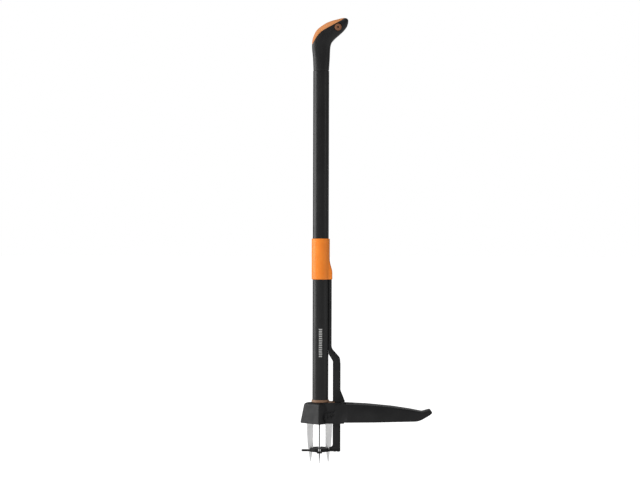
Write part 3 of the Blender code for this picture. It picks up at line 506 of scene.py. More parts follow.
SPIGOT = ((1.0, 764.0), (0.0, 765.0), (0.0, 791.8))     # how far each ring is inset, and its height
HANDLE_BACK = [
    (-17.5, 792), (-18.6, 820), (-20.8, 845), (-19.0, 863.6), (-12.0, 880), (-3.3, 889.2), (10.3, 898.4),
    (21.9, 903.3), (34.8, 907), (46.3, 909.7), (53.5, 910.5), (57.6, 909.6), (59.5, 908.2)]
HANDLE_INNER = [
    (17.5, 792), (19.2, 818), (20.4, 843), (23.2, 854), (27.7, 860.1), (32.6, 865.2), (38.8, 870.5),
    (45.8, 876.7), (51.7, 882.8), (57.2, 890.3), (60.0, 897.6), (60.8, 903), (60.6, 906.2)]
HANDLE_DEPTH = [14.4, 13.8, 13.4, 13.7, 14.0, 14.0, 14.0, 14.0, 13.9, 13.2, 11.4, 8.0, 3.0]
HANDLE_SQUARE = [2.0, 2.2, 2.4, 2.5, 2.6, 2.6, 2.6, 2.6, 2.6, 2.6, 2.5, 2.4, 2.2]
PAD_SHARE = [0, 0, 0.0, 0.14, 0.235, 0.28, 0.32, 0.31, 0.265, 0.17, 0.04, 0, 0]
PAD_START, PAD_FINISH, STATION_STEP = 2.32, 9.95, 8
HANDLE_RINGS, PAD_RINGS = 110, 90
PAD_COLUMNS, BODY_COLUMNS, PAD_LEAST = 28, 44, 0.40
PAD_DEPTH, PAD_PROUD, SEAM, STEP = 1.7, 0.3, 0.03, 0.012


def handle_stations():
    """A function that gives the handle's section at any place along it, and the last such place.

    A section is (back point, inner point, half depth, squareness, half angle of the pad).
    """
    lines = [smooth_line([Vector(p) for p in line], STATION_STEP) for line in (HANDLE_BACK, HANDLE_INNER)]
    lines += [smooth_line([float(v) for v in line], STATION_STEP)
              for line in (HANDLE_DEPTH, HANDLE_SQUARE, PAD_SHARE)]
    count = len(lines[0]) - 1

    def at(where):
        place = min(where * STATION_STEP, count - 1e-9)
        i, part = int(place), place - int(place)
        back, inner, depth, square, share = (line[i] * (1 - part) + line[i + 1] * part for line in lines)
        angle = math.acos(max(1 - 2 * max(share, 0), 0.0) ** (square / 2))
        return back, inner, depth, square, max(angle, PAD_LEAST)
    return at, count / STATION_STEP


def handle_point(station, spin, offset):
    """A point of a handle section; spin is 0 at the back, and offset moves it outwards."""
    back, inner, depth, square, _ = station
    half = (inner - back).length / 2
    across = (inner - back) / (2 * half)

    def local(t):
        c, s = math.cos(t), math.sin(t)
        power = 2 / square
        return Vector((-half * math.copysign(abs(c) ** power, c), depth * math.copysign(abs(s) ** power, s)))
    here = local(spin)
    step = local(spin + 0.01) - local(spin - 0.01)
    normal = Vector((-step.y, step.x)).normalized()
    if normal.dot(here) < 0:
        normal = -normal
    here = here + normal * offset
    middle = (back + inner) / 2 + across * here.x
    return (middle.x, here.y, middle.y)


def handle_spins(angle):
    """The angles of a handle ring's points: first those of the pad's seat, then the rest."""
    seat = [-angle + SEAM + (2 * angle - 2 * SEAM) * i / PAD_COLUMNS for i in range(PAD_COLUMNS + 1)]
    return seat + [angle + (2 * math.pi - 2 * angle) * i / BODY_COLUMNS for i in range(BODY_COLUMNS + 1)]


def handle_body():
    """The handle: a spigot for the tube, then rings that sink into a seat where the pad lies."""
    at, end = handle_stations()
    wheres = [end * i / HANDLE_RINGS for i in range(HANDLE_RINGS + 1)]
    wheres += [PAD_START - STEP, PAD_START + STEP, PAD_FINISH - STEP, PAD_FINISH + STEP]
    rings = []
    spigot_x, spigot_y = TUBE_X - TUBE_WALL - GAP, TUBE_Y - TUBE_WALL - GAP
    for inset, z in SPIGOT:
        rings.append([(-(spigot_x - inset) * math.cos(t), (spigot_y - inset) * math.sin(t), z)
                      for t in handle_spins(at(0)[-1])])
    for where in sorted(wheres):
        station = at(where)
        sunk = -PAD_DEPTH if PAD_START < where < PAD_FINISH else 0.0
        rolled = -0.5 if where == 0 else 0.0
        offsets = [sunk] * (PAD_COLUMNS + 1) + [0.0] * (BODY_COLUMNS + 1)
        spins = handle_spins(station[-1])
        rings.append([handle_point(station, t, o + rolled) for t, o in zip(spins, offsets)])
    obj = skin("handle_shell", rings)
    low, high = extent("hang_eyelet")
    centre = (low + high) / 2
    bore = (high.x - low.x) / 2 + 0.25
    half = [(0, 30), (9.6, 30), (9.6, 14.0), (bore, 11.8)]
    carve(obj, turned("tool", half + [(r, -h) for r, h in reversed(half)], centre, "Y", 64))
    carve(obj, rod_tool((0, 13, 778), 2.1, 9))
    keep(obj, "handle_plastic", "black_plastic", "handle_body")


def grip_pad():
    """The insert: a shell whose rim is rounded and which stands slightly proud of the handle."""
    at, _ = handle_stations()
    inset = 0.035
    first, last = PAD_START + inset, PAD_FINISH - inset
    wheres = [first, first + 0.02, first + 0.06]
    wheres += [first + 0.06 + (last - first - 0.12) * i / PAD_RINGS for i in range(1, PAD_RINGS)]
    wheres += [last - 0.06, last - 0.02, last]
    rings = []
    for where in wheres:
        station = at(where)
        angle = station[-1] - SEAM * 1.6
        rim = min(smooth_step(where, first - 0.01, first + 0.09),
                  smooth_step(-where, -last - 0.01, -last + 0.09))
        outer = []
        for i in range(PAD_COLUMNS + 1):
            spin = -angle + 2 * angle * i / PAD_COLUMNS
            edge = smooth_step((angle - abs(spin)) * 14, -0.3, 1.4)
            outer.append(handle_point(station, spin, PAD_PROUD - 0.8 * (1 - rim * edge)))
        inner = [handle_point(station, -angle + 2 * angle * i / PAD_COLUMNS, -PAD_DEPTH + 0.25)
                 for i in range(PAD_COLUMNS, -1, -1)]
        rings.append(outer + inner)
    keep(skin("grip_pad", rings, sharp=50), "grip_orange", "orange_plastic", "handle_grip_pad")


def hang_eyelet():
    """The hanging hole's ring: a rounded lip narrows each mouth of the bore."""
    low, high = extent("hang_eyelet")
    centre, half, outer = (low + high) / 2, (high.y - low.y) / 2, (high.x - low.x) / 2
    bore, mouth, lip = 3.2, 1.9, 1.3
    face = half - 2.0
    profile = corner_arc(outer - lip, face - lip + 1.2, lip, 0, 90)
    profile += corner_arc(mouth + lip * 1.3, face - lip + 1.2, lip * 1.3, 90, 180)
    profile += [(mouth, face - 3.5), (bore, face - 5.0)]
    profile += [(r, -h) for r, h in reversed(profile)]
    ring = turned("eyelet", profile, centre, "-Y", 64, closed=True)
    # its dark brown colour is painted shade on an orange part
    keep(ring, "ring_orange_painted_shade", "orange_plastic", "hang_eyelet")


def collar():
    low, high = extent("shaft_collar")
    bottom, top = low.z, high.z
    profile = [(0.3, bottom + 0.3), (0.6, bottom), (1.3, bottom), (1.8, bottom + 0.6), (1.8, top - 1.4),
               (1.4, top - 0.5), (0.9, top), (0.6, top), (0.3, top - 0.4)]
    ring = oval_turned("collar", TUBE_X, TUBE_Y, profile)
    outline = [(17.5, -high.y + 1.5), (24, -12, 3), (high.x, -12, 2.5), (high.x, 12, 2.5), (24, 12, 3),
               (17.5, high.y - 1.5)]
    tongue = plan_prism("tongue", rounded(outline), bottom, 48.2)
    carve(tongue, box("tool", (27.1, -4.8, 40), (60, 4.8, 60)),
          oval_turned("tool", TUBE_X, TUBE_Y, [(0.35, 40), (0.35, 60)], closed=False))
    soften(tongue, 0.6)
    apply(tongue)
    join(ring, tongue)
    # its muted brown colour is painted shade on an orange part
    keep(ring, "collar_orange_painted_shade", "orange_plastic", "shaft_collar")


# ---------- head

AXIS_X = -2.0
HEAD_LEFT, HEAD_SIDE, END_ROUNDING, FLANK_ROUNDING = 46.2, 38.0, 3.0, 5.0
STEP_X, FLAT_X, FLAT_Y, TAIL_END, COVER_WALL = 5.5, 17.5, 18.4, 53.5, 2.0
PEDAL_PIVOT = (20.5, 0.0, 15.0)
RECESS_RADIUS, RECESS_FOOT = 15.0, 2.7
ROD_HALF = 4.0


def head_ring(z, inset, edge):
    """The head's outline at one height: a diamond that steps in to the tail's flats.

    The step follows the round recess in each flank. edge is the rounding of the tail's own edges.
    """
    left, side, flat = HEAD_LEFT - inset, HEAD_SIDE - inset, FLAT_Y - edge

    def flank(x):
        return side * (1 - (x - AXIS_X) / (left + AXIS_X))
    rise = max(z, RECESS_FOOT) - PEDAL_PIVOT[2]
    reach = math.sqrt(max(RECESS_RADIUS ** 2 - rise ** 2, 0))
    step = min(FLAT_X, PEDAL_PIVOT[0] - reach)
    ledge = flank(step) - flat
    if ledge <= 0:
        step, ledge = AXIS_X + (1 - flat / side) * (left + AXIS_X), 0
    chamfer = min(0.6, ledge / 3)
    half = [(-left, 0, END_ROUNDING), (AXIS_X, -side, FLANK_ROUNDING - inset * 0.15),
            (step - chamfer, -flank(step - chamfer)), (step, chamfer - flank(step)), (step, -flat),
            (TAIL_END - edge, -flat, 3.5)]
    return [(x, y, z) for x, y in rounded(mirrored(half), 10)]


def inner_outline(left, side, step_x, flat_y, end):
    edge = side * (1 - (step_x - AXIS_X) / (left + AXIS_X))
    half = [(-left, 0, 3), (AXIS_X, -side, 3), (step_x, -edge), (step_x, -flat_y), (end, -flat_y)]
    return rounded(mirrored(half), 6)


def housing():
    top = extent("housing_cover")[1].z
    slope = 7.5 / (top - 8)
    levels = [(0, 1.3, 0.8), (0.35, 0.6, 0.35), (0.9, 0.15, 0.08), (1.6, 0.0, 0.0)]
    levels += [(z, slope * (z - 1.6), 0.0) for z in (2.2 + 0.6 * i for i in range(47))]
    levels += [(z, slope * (z - 1.6), 0.0) for z in (30.6, 33, 36, 39)]
    levels += [(40.2, slope * 38.8, 0), (42.0, 8.1, 0), (43.6, 9.2, 0), (44.7, 10.9, 0.05), (45.6, 13.1, 0.2),
               (46.2, 15.2, 0.55), (top, 16.6, 1.0)]
    cover = skin("housing", [head_ring(*level) for level in levels])
    inner = inner_outline(37.0, 31.9, STEP_X - COVER_WALL, FLAT_Y - COVER_WALL, 35.0)
    carve(
        cover,
        plan_prism("tool", inner, -5, 21.6),
        box("tool", (-12, COVER_WALL - FLAT_Y, 10), (35.0, FLAT_Y - COVER_WALL, 29.0)),
        rod_tool((AXIS_X, 0, 31.5), 7, 5, "Z"),
        oval_turned("tool", TUBE_X, TUBE_Y, [(GAP, 31.5), (GAP, top + 10)], closed=False),
        box("tool", (27.2, -4.7, -20), (46.0, 4.7, 80)),
        box("tool", (25.2, -6.7, 34), (48.0, 6.7, 80)),
        rod_tool(PEDAL_PIVOT, 4.3, 45),
        rod_tool((2.65, 0, 41), 2.8, 26.95, "X"),
    )
    x, _, z = PEDAL_PIVOT
    for side in (-1, 1):
        low, high = (x + 2.2, side * FLAT_Y - 5, z + 1.2), (x + 10.6, side * FLAT_Y + 5, z + 9.7)
        carve(cover, box("tool", low, high))
    keep(cover, "head_plastic", "black_plastic", "housing_cover")


def rod_guide():
    low, high = extent("rod_guide")
    outline = [(low.x, low.y, 1.2), (high.x, low.y, 1.2), (high.x, high.y, 1.2), (low.x, high.y, 1.2)]
    guide = plan_prism("guide", rounded(outline), low.z, high.z)
    carve(guide, box("tool", (27.5, -4.4, 0), (45.7, 4.4, 80)))
    keep(soften(guide, 0.5), "inner_plastic", "black_plastic", "rod_guide")


# ---------- claws

PIVOT_RADIUS, PIVOT_Z, CLAW_HALF = 22.5, 15.0, 1.5
TIP_Z, TIP_OUTER, TIP_INNER = -87.0, 21.0, 19.5
TOOTH_PITCH, TOOTH_DEPTH, TEETH_TOP, TEETH_BOTTOM = 3.2, 1.2, -5.0, -68.0
LEVELS_PER_TOOTH = 6
CLAWS = (("right", 0, 4.3), ("rear", 90, 2.8), ("left", 180, 2.8), ("front", 270, 2.8))


def blade_inner(z):
    if z > -48:
        return 13.0
    return 13.0 + (TIP_INNER - 13.0) * ((-48 - z) / (-48 - TIP_Z)) ** 1.3


def blade_outer(z):
    line = [(2, 28.6), (0, 28.6), (-25, 27.8), (-48, 26.4), (-70, 22.9), (-76, 22.3), (TIP_Z, TIP_OUTER)]
    for (z0, x0), (z1, x1) in zip(line, line[1:]):
        if z >= z1:
            return x0 + (x1 - x0) * (z0 - z) / (z0 - z1)
    return TIP_OUTER


def tooth_cut(z):
    """How far a tooth's gullet reaches into the blade: slow down one flank, quick up the other."""
    if not TEETH_BOTTOM < z < TEETH_TOP:
        return 0.0
    share = ((TEETH_TOP - z) % TOOTH_PITCH) / TOOTH_PITCH
    rise = share / 0.3 if share < 0.3 else (1 - share) / 0.7
    return TOOTH_DEPTH * math.sin(rise * math.pi / 2) ** 0.9


def blade_section(z):
    """The ground blade at one height: a serrated edge, a bevelled flank and a rounded back."""
    inner, outer = blade_inner(z), blade_outer(z)
    half = CLAW_HALF * (0.45 + 0.55 * smooth_step(z, TIP_Z, -66))
    flank = min(inner + 3.0, inner + (outer - inner) * 0.5)
    edge = inner + min(tooth_cut(z), (flank - inner) * 0.8)
    thin = half * 0.42
    back = min(0.5, (outer - inner) * 0.2)
    front = [(edge, thin * 0.5), (edge + 0.12, thin), (flank, half), (outer - back, half),
             (outer, half - back * 0.8)]
    if outer - inner < 2.2:
        front = [(edge, thin * 0.5), (edge + 0.1, thin), ((edge + outer) / 2, half), (outer - 0.2, half),
                 (outer, half * 0.6)]
    return [(x, -y, z) for x, y in front] + [(x, y, z) for x, y in reversed(front)]


def claw(name, node, direction, hole):
    """One claw, turned to its direction in degrees. hole is the radius of its pin's hole."""
    pitch = TOOTH_PITCH / LEVELS_PER_TOOTH
    levels = [1.5, -2.0, TEETH_TOP + 0.02]
    z = TEETH_TOP
    while z > TEETH_BOTTOM - 0.5:
        levels.append(z)
        z -= pitch
    levels += [-70, -72, -74, -76, -78, -80, -82, -84, -85.5, -86.5, TIP_Z]
    blade = skin(name, [blade_section(z) for z in levels], sharp=40)
    boss = corner_arc(PIVOT_RADIUS, PIVOT_Z, 6.1, 150, 0, 24)
    toe = corner_arc(6.0, PIVOT_Z, 2.0, 270, 90, 12)
    shoulder = [(28.6, 0), (28.3, -3.6), (16.4, -3.6), (13.4, -1.5), (13.1, 2), (14.5, 13)]
    outline = boss + shoulder + toe + [(14, 17)]
    top = soften(side_prism("top", outline, -CLAW_HALF, CLAW_HALF), 0.3, 2)
    apply(top)
    join(blade, top)
    carve(blade, rod_tool((PIVOT_RADIUS, 0, PIVOT_Z), hole, 6))
    turn = Matrix.Rotation(math.radians(direction), 4, "Z")
    blade.data.transform(Matrix.Translation((AXIS_X * MM, 0, 0)) @ turn)
    keep(blade, "claw_steel", "stainless", node)
    # the faces that look along the claw's direction, its back and toothed edges, take the near-black steel: a
    # painted dark reflection
    blade.data.materials.append(MATERIALS["claw_edge_painted_shade"])
    radial = Vector((math.cos(math.radians(direction)), math.sin(math.radians(direction)), 0))
    for face in blade.data.polygons:
        face.material_index = int(abs(face.normal.dot(radial)) > 0.75)


SPRING_WIRE, SPRING_TURNS, SPRING_STEPS = 0.5, 6.0, 40


def return_spring():
    """A compression spring with closed ends, built at one length; on the tool it shortens as the actuator
    rises towards its fixed top.
    """
    low, high = extent("return_spring")
    radius = (high.x - low.x) / 2 - SPRING_WIRE
    bottom, reach = low.z + SPRING_WIRE, high.z - low.z - 2 * SPRING_WIRE
    close = 2.1 * SPRING_WIRE / reach
    line = [0.0, close * 0.5, close, 0.5, 1 - close, 1 - close * 0.5, 1.0]
    turns = [0.0, 0.5, 1.0, SPRING_TURNS / 2, SPRING_TURNS - 1, SPRING_TURNS - 0.5, SPRING_TURNS]
    rings = []
    for i in range(int(SPRING_TURNS * SPRING_STEPS) + 1):
        turn = i / SPRING_STEPS
        k = max(j for j in range(len(turns) - 1) if turns[j] <= turn)
        share = line[k] + (line[k + 1] - line[k]) * (turn - turns[k]) / (turns[k + 1] - turns[k])
        spin, height = 2 * math.pi * turn, bottom + reach * share
        ring = []
        for t in (2 * math.pi * j / 12 for j in range(12)):
            out, z = radius + SPRING_WIRE * math.cos(t), height + SPRING_WIRE * math.sin(t)
            ring.append((AXIS_X + out * math.cos(spin), out * math.sin(spin), z))
        rings.append(ring)
    coil = keep(skin("return_coil", rings, sharp=50), "spring", "spring_steel", "return_spring")
    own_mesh(coil)


# ---------- pedal

PEDAL_RIDGE = [(60, 44.3), (107.6, 42.0), (161.6, 37.1), (202, 31.2), (229, 26.0)]
PEDAL_HALF, PEDAL_TIP_HALF, TAPER_START, TAPER_LENGTH = 23.5, 17.0, 60, 194
PEG = (PEDAL_PIVOT[0] + 7.5, 0, PEDAL_PIVOT[2] + 4)


def pedal_side():
    x, _, z = PEDAL_PIVOT
    boss = corner_arc(x, z, 10.0, 255, 60, 36)
    ridge = [(*point, 250) for point in PEDAL_RIDGE[:-1]]
    corners = [boss[-1], (34, 28, 5), (34, 44.2, 4.5), *ridge, (229, 26.0, 14), (246.5, 31.0, 3.5),
               (252.5, 24.5, 4), (243, 18.0, 25), (221, 5.4, 40), (120, 3.3), (67, 3.0), (34, 3.2), boss[0]]
    return boss + rounded(corners, 10)[1:-1]


def pedal_top(x):
    """The height and the slope of the pedal's top."""
    line = PEDAL_RIDGE
    for (x0, z0), (x1, z1) in zip(line, line[1:]):
        if x <= x1:
            return z0 + (z1 - z0) * (x - x0) / (x1 - x0), math.atan2(z1 - z0, x1 - x0)
    return line[-1][1], 0.0


def pedal_half(x):
    return PEDAL_HALF + (PEDAL_TIP_HALF - PEDAL_HALF) * max(x - TAPER_START, 0) / TAPER_LENGTH


def pedal_plan(name, inner, tip, start, end, radius, low, high):
    """The pedal from above, with half its width at the head and at the tip."""
    half = [(start, -inner), (TAPER_START, -inner, 60), (end, -tip, radius)]
    return plan_prism(name, rounded(mirrored(half), 12), low, high)


def pedal():
    body = side_prism("pedal", pedal_side(), -40, 40)
    carve(body, pedal_plan("tool", PEDAL_HALF, PEDAL_TIP_HALF, 0, 254, 9, -40, 100), operation="INTERSECT")
    wall = 3.5
    roof = [(-10, -30), (-10, 90), (58, 90), (58, 44.3 - wall)]
    roof += [(x, z - wall) for x, z in PEDAL_RIDGE[1:-1]] + [(226, 25.5 - wall), (232, 13), (232, -30)]
    channel = side_prism("channel", roof, -40, 40)
    carve(channel, pedal_plan("tool", 19.0, 14.0, -20, 234, 2, -60, 120), operation="INTERSECT")
    carve(body, channel, box("tool", (48, -6, 20), (75, 6, 80)))
    soften(body, 0.9)
    apply(body)
    carve(body, rod_tool(PEDAL_PIVOT, 4.3, 45), rod_tool(PEG, 2.8, 45))
    keep(body, "pedal_plastic", "black_plastic", "pedal_body")


TREAD_START, TREAD_END, TREAD_PITCH = 118.0, 222, 6.5


def pedal_treads():
    treads = bmesh.new()
    section = [(-1.3, -0.5), (1.3, -0.5), (0.95, 0.28), (0.55, 0.45), (-0.55, 0.45), (-0.95, 0.28)]
    x = TREAD_START
    while x < TREAD_END:
        (height, slope), half = pedal_top(x), pedal_half(x) - 3.6
        rings = []
        for y, shrink in ((-half, 0.45), (-half + 0.6, 1.0), (half - 0.6, 1.0), (half, 0.45)):
            ring = []
            for u, v in section:
                v = v * shrink if v > 0 else v
                ring.append(treads.verts.new(Vector((
                    x + u * math.cos(slope) - v * math.sin(slope), y,
                    height + u * math.sin(slope) + v * math.cos(slope))) * MM))
            rings.append(ring)
        for first, second in zip(rings, rings[1:]):
            for i in range(len(section)):
                j = (i + 1) % len(section)
                treads.faces.new((first[i], first[j], second[j], second[i]))
        treads.faces.new(reversed(rings[0]))
        treads.faces.new(rings[-1])
        x += TREAD_PITCH
    add_on(placed("pedal_treads", treads, 50), "pedal_plastic", "pedal")


def pedal_ribs():
    for i, x in enumerate((96.0, 128.0, 160.0, 192.0)):
        height, _ = pedal_top(x + 1)
        half = pedal_half(x) - 4.0
        outline = rounded([(-half, height - 3.0), (-half, 5.4), (-half * 0.55, 9.5, 4), (half * 0.55, 9.5, 4),
                           (half, 5.4), (half, height - 3.0)], 6)
        rib = skin(f"pedal_rib_{i + 1}", [[(px, y, z) for y, z in outline] for px in (x - 1, x + 1)])
        add_on(soften(rib, 0.3, 2), "pedal_plastic", "pedal")


def pedal_pegs():
    for name, axis in (("front", "-Y"), ("rear", "Y")):
        plain_pin(f"peg_{name}", f"pedal_peg_{name}", 2.5, 12.6, 23.3, axis, PEG, "plate_coat", "powder_coat")


def pedal_pin():
    head, seat, radius = 5.6, 23.5 + GAP, 4.0
    dome = [(0, 3.0), (1.6, 2.96), (3.2, 2.6), (4.6, 1.95), (5.35, 1.25), (head, 0.6), (head - 0.15, 0)]
    tail = [(radius, 0.2), (3.0, 0.2), (3.0, 1.6), (radius, 1.6), (radius, 2.6), (radius - 0.4, 3), (0, 3)]
    profile = [(r, seat + h) for r, h in dome] + [(radius, seat)] + [(r, -seat - h) for r, h in tail]
    pin = turned("pivot_pin", profile, PEDAL_PIVOT, "-Y", 64)
    keep(pin, "plate_coat", "powder_coat", "pedal_pin")
    top, low = -seat - 0.5, -seat - 1.3
    ring = [(6.4, top - 0.1), (6.3, top), (3.4, top), (3.3, top - 0.1),
            (3.3, low + 0.1), (3.4, low), (6.3, low), (6.4, low + 0.1)]
    clip = turned("pivot_clip", ring, PEDAL_PIVOT, "-Y", 64, closed=True)
    x, _, z = PEDAL_PIVOT
    carve(clip, box("tool", (x - 2.2, 0, z - 12), (x + 2.2, 60, z)))
    keep(clip, "spring", "spring_steel", "pedal_pin_clip")


# ---------- ejector

SLEEVE_X, SLEEVE_Y, SLEEVE_STEPS = 20.4, 18.0, 160
SHOE_OUTER, SHOE_HALF, SHOE_SQUARE, SHOE_BLEND = 26.4, 8.4, 7, 4.5
SLIDER_SCREW_X, SLIDER_SCREWS = 21.7, (("lower", 329.0), ("upper", 338.0))


def sleeve_ring(z, offset):
    """The slider's outside: an oval that swells into the shoe that holds the rod."""
    reach = SHOE_OUTER - 6.4 * smooth_step(z, 338, 366) - 5.0 * smooth_step(z, 355, 378)
    ring = []
    for i in range(SLEEVE_STEPS):
        t = 2 * math.pi * i / SLEEVE_STEPS
        c, s = math.cos(t), math.sin(t)
        a, b = SLEEVE_X + offset, SLEEVE_Y + offset
        oval = 1 / math.hypot(c / a, s / b)
        radius = oval
        if c > 0:
            rx, ry, power = reach + offset, SHOE_HALF + offset, SHOE_SQUARE
            shoe = 1 / ((abs(c) / rx) ** power + (abs(s) / ry) ** power) ** (1 / power)
            h = max(SHOE_BLEND - abs(oval - shoe), 0) / SHOE_BLEND
            radius = max(oval, shoe) + h * h * SHOE_BLEND * 0.25
        ring.append((radius * c, radius * s, z))
    return ring


def slider():
    low, high = extent("slider_sleeve")
    bottom, top = low.z, high.z
    rim = [(-1.9, 0.0), (-1.1, 0.15), (-0.45, 0.6), (-0.1, 1.3), (0, 2.1)]
    levels = [(offset, bottom + rise) for offset, rise in rim]
    levels += [(0, 330)] + [(0, 337 + 2 * i) for i in range(21)] + [(0, 384), (0, 392), (0, 400), (0, 406)]
    levels += [(offset, top - rise) for offset, rise in reversed(rim)]
    rings = [sleeve_ring(z, offset) for offset, z in levels]
    bore_x, bore_y = TUBE_X + 0.4, TUBE_Y + 0.4
    for grow, z in ((0.5, top), (0, top - 0.6), (0, bottom + 0.6), (0.5, bottom)):
        spins = [2 * math.pi * i / SLEEVE_STEPS for i in range(SLEEVE_STEPS)]
        rings.append([((bore_x + grow) * math.cos(t), (bore_y + grow) * math.sin(t), z) for t in spins])
    sleeve = skin("slider", rings, closed=True)
    carve(sleeve, box("tool", (16.8, -ROD_HALF - GAP, bottom - 5), (25.3, ROD_HALF + GAP, 343.3)))
    for _, z in SLIDER_SCREWS:
        carve(sleeve, rod_tool((SLIDER_SCREW_X, 3, z), 1.7, 9.8, steps=24))
    keep(sleeve, "slider_orange", "orange_plastic", "slider_sleeve")
    for name, z in SLIDER_SCREWS:
        node = f"slider_screw_{name}"
        screw(f"{node}_finished", node, (SLIDER_SCREW_X, 0, z), "Y", (2.6, 1.6), 1.4, 8.3, 14.8)


ROD_STOP, ROD_MIDDLE, FOOT_END = 47.2, 36.6, -47.5


def rod_outline():
    """The rod from the side, from the slider's shoe down to the foot that carries the plate."""
    return rounded([
        (25.0, 343.0), (25.0, 168, 16), (44.0, 147, 13), (45.3, 132, 12), (45.3, 74, 5), (55.0, 50, 1.2),
        (55.0, ROD_STOP), (45.3, ROD_STOP), (45.3, -59.7), (19.9, -59.7), (19.9, -54.0), (27.9, -54.0, 6.0),
        (27.9, 139, 9), (17.4, 156, 9), (17.4, 343.0)], 12)


def span_at(outline, z):
    """The least and greatest x of an outline at one height."""
    found = []
    for (x0, z0), (x1, z1) in zip(outline, outline[1:] + outline[:1]):
        if (z0 - z) * (z1 - z) <= 0 and z0 != z1:
            found.append(x0 + (x1 - x0) * (z - z0) / (z1 - z0))
    return min(found), max(found)


def ejector_rod():
    outline = rod_outline()
    levels = [-59.69, -59.3, -57, -54.01, -53.97] + [-53.8 + 0.4 * i for i in range(15)]
    levels += [-47, -40, -20, 0, 20, 40, 46, 47.1]
    levels += [47.25, 47.8, 48.4, 49, 49.6, 50.2, 51, 53, 57, 62, 67, 70, 72, 74, 76, 80, 100, 120]
    levels += [125 + 1.5 * i for i in range(34)] + [190, 230, 270, 310, 337, 342.2, 342.99]
    rings = []
    for z in levels:
        left, right = span_at(outline, z)
        middle, wide = (left + right) / 2, right - left
        flat = min(2.6, wide * 0.28)
        edge = 2.5 + 0.9 * smooth_step(-wide, -17, -7)
        if ROD_STOP < z < 74:
            middle = ROD_MIDDLE
        elif z < FOOT_END:
            middle, edge, flat = ROD_MIDDLE, 2.5, 2.6
        end = 0.0 if z < 342.5 else 0.6
        high = ROD_HALF - end
        front = [(left + end, edge - 0.9), (left + 0.3 + end, edge - 0.25), (left + 0.9, edge),
                 (middle - flat, high), (middle + flat, high),
                 (right - 0.9, edge), (right - 0.3 - end, edge - 0.25), (right - end, edge - 0.9)]
        rings.append([(x, -y, z) for x, y in front] + [(x, y, z) for x, y in reversed(front)])
    rod = skin("rod", rings, sharp=28)
    carve(rod, oval_turned("tool", TUBE_X, TUBE_Y, [(0.35, 100), (0.35, 360)], closed=False))
    carve(rod, box("tool", (0, -2.2, -90), (27.4, 2.2, -30)))
    keep(rod, "rod_plastic", "black_plastic", "ejector_rod")


def four_ways(quarter):
    """An outline made of a quarter that is repeated round the claws' axis; quarter(k) gives its points."""
    made = []
    for k in range(4):
        turn = Matrix.Rotation(k * math.pi / 2, 2)
        made += [tuple(turn @ Vector(point) + Vector((AXIS_X, 0))) for point in quarter(k)]
    return made


def ejector_plate():
    """A disc with four arms, the one at the rod longer, a raised hub, and slots for the claws."""
    low, high = extent("ejector_plate")
    bottom, hub_top = low.z, high.z
    top, half, radius, slot = bottom + 3.5, 6.0, 23.0, 2.2
    lengths = (high.x - AXIS_X, 40, 40, 40)
    meet = math.degrees(math.asin(half / radius))

    def arm(k):
        end = rounded([(0, -half), (lengths[k], -half, 2.5), (lengths[k], half, 2.5), (0, half)], 6)[1:-1]
        return end + corner_arc(0, 0, radius, meet, 90 - meet, 14)

    def gap(_):
        return rounded([(slot, -slot), (29.2, -slot, 1.6), (29.2, slot, 1.6), (slot, slot)], 6)[:-1]
    star = plan_prism("star", four_ways(arm), bottom, top)
    hub = 21.5
    profile = [(0, hub_top), (hub - 0.6, hub_top), (hub, hub_top - 0.6), (hub, bottom + 1), (0, bottom + 1)]
    join(star, turned("hub", profile, (AXIS_X, 0, 0), "Z", 96))
    carve(star, plan_prism("slots", four_ways(gap), bottom - 5, hub_top + 5))
    keep(soften(star, 0.45, 2), "plate_coat", "powder_coat", "ejector_plate")
    for name, x in (("plate_screw_inner", 32.5), ("plate_screw_outer", 40.5)):
        screw(f"{name}_finished", name, (x, 0, 0), "-Z", (2.7, 1.4), 1.5, -bottom + GAP, 12)


# ---------- what stays as CAD

def carried_over():
    """CAD nodes whose shape is right: they get a finish, and coincident points are welded."""
    kept = {"shaft_plug": ("inner_plastic", "black_plastic"), "base_plate": ("plate_coat", "powder_coat")}
    for name in ("shaft_cross_pin", "claw_carrier", "claw_pin_left", "claw_pin_front", "claw_pin_rear",
                 "claw_actuator"):
        kept[name] = ("zinc", "zinc")
    for name, (material, slot) in kept.items():
        node = frame["nodes"][name]
        for place in node.material_slots:
            place.material = MATERIALS[material]
        node.modifiers.new("weld", "WELD").merge_threshold = 1e-6


# ---------- assembly

BASE_SCREWS = ((-16, -11), (-16, 11), (12, -10), (12, 10))


def build():
    shaft()
    handle_body()
    grip_pad()
    hang_eyelet()
    screw("handle_screw_finished", "handle_screw", (0, 0, 778), "Y", (3.5, 1.8), 1.8, TUBE_Y + GAP, 11)
    collar()
    housing()
    rod_guide()
    for i, (x, y) in enumerate(BASE_SCREWS, 1):
        screw(f"base_screw_{i}_finished", f"base_screw_{i}", (x, y, 0), "-Z", (3.0, 1.2), 1.5, -1.5, 7.5)
    for side, direction, hole in CLAWS:
        claw(f"blade_{side}", f"claw_{side}", direction, hole)
    return_spring()
    pedal()
    pedal_treads()
    pedal_ribs()
    pedal_pegs()
    pedal_pin()
    slider()
    ejector_rod()
    ejector_plate()
    carried_over()


# ---------- floor, light and camera

LAMPS = (   # name, place, height of its target, width, height, watts, whether it shows in reflections
    ("left_strip", (-2.3, -0.15, 0.55), 0.42, 1.6, 3.2, 66, True),
    ("right_fill", (2.6, -1.6, 0.7), 0.4, 0.7, 2.6, 5, True),
    ("top_soft", (-0.5, -1.2, 2.9), 0.4, 1.8, 1.8, 14, True),
    ("rear_soft", (0.8, 2.4, 2.4), 0.4, 1.6, 1.6, 12, True),
    ("front_soft", (-1.3, -2.9, 1.3), 0.4, 2.0, 2.0, 70, False),
)
EYE, ROLL, LENS = (-0.0017, -3.3, 0.4113), -0.15, 82.5


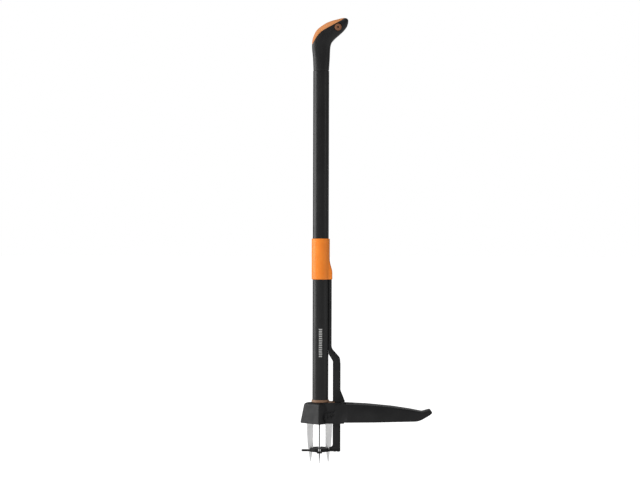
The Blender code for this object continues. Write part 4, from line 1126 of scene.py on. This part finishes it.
def by_ray(tree, seen, lighting):
    """A strength that is seen by the camera, and another that lights the object."""
    path = tree.nodes.new("ShaderNodeLightPath")
    strength = tree.nodes.new("ShaderNodeMapRange")
    strength.inputs["To Min"].default_value, strength.inputs["To Max"].default_value = lighting, seen
    tree.links.new(path.outputs["Is Camera Ray"], strength.inputs["Value"])
    return strength.outputs["Result"]


def paper(name):
    """A pale surface that the camera sees as white, and that lights the object less."""
    made = bpy.data.materials.new(name)
    made.use_nodes = True
    tree = made.node_tree
    shader = tree.nodes["Principled BSDF"]
    shader.inputs["Base Color"].default_value = (0.35, 0.35, 0.35, 1)
    shader.inputs["Roughness"].default_value = 0.9
    shader.inputs["Specular IOR Level"].default_value = 0.0
    shader.inputs["Emission Color"].default_value = (1, 1, 1, 1)
    tree.links.new(by_ray(tree, 0.97, 0.45), shader.inputs["Emission Strength"])
    return made


def floor():
    low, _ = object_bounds()
    bm = bmesh.new()
    bmesh.ops.create_circle(bm, cap_ends=True, segments=96, radius=40)
    mesh = bpy.data.meshes.new("floor")
    bm.to_mesh(mesh)
    bm.free()
    plane = bpy.data.objects.new("floor", mesh)
    bpy.context.scene.collection.objects.link(plane)
    plane.location = (0, 0, low.z - 0.0003)
    mesh.materials.append(paper("floor_paper"))
    plane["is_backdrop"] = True


def lamp(name, place, target_height, width, height, watts, reflected):
    light = bpy.data.lights.new(name, "AREA")
    light.shape, light.size, light.size_y, light.energy = "RECTANGLE", width, height, watts
    made = bpy.data.objects.new(name, light)
    made.location = place
    made.rotation_euler = (Vector((0, 0, target_height)) - Vector(place)).to_track_quat("-Z", "Y").to_euler()
    made.visible_glossy = reflected
    bpy.context.scene.collection.objects.link(made)


def lights():
    world = bpy.data.worlds.new("white")
    bpy.context.scene.world = world
    world.use_nodes = True
    background = world.node_tree.nodes["Background"]
    world.node_tree.links.new(by_ray(world.node_tree, 1.0, 0.26), background.inputs["Strength"])
    background.inputs["Color"].default_value = (1, 1, 1, 1)
    for row in LAMPS:
        lamp(*row)


def camera():
    data = bpy.data.cameras.new("camera")
    data.sensor_width, data.lens = 36.0, LENS
    data.clip_start, data.clip_end = 0.05, 200
    eye = bpy.data.objects.new("camera", data)
    eye.location = EYE
    eye.rotation_euler = (math.radians(90), math.radians(ROLL), 0)
    bpy.context.scene.collection.objects.link(eye)
    bpy.context.scene.camera = eye
    bpy.context.scene.view_settings.view_transform = "Standard"


build()
floor()
lights()
camera()
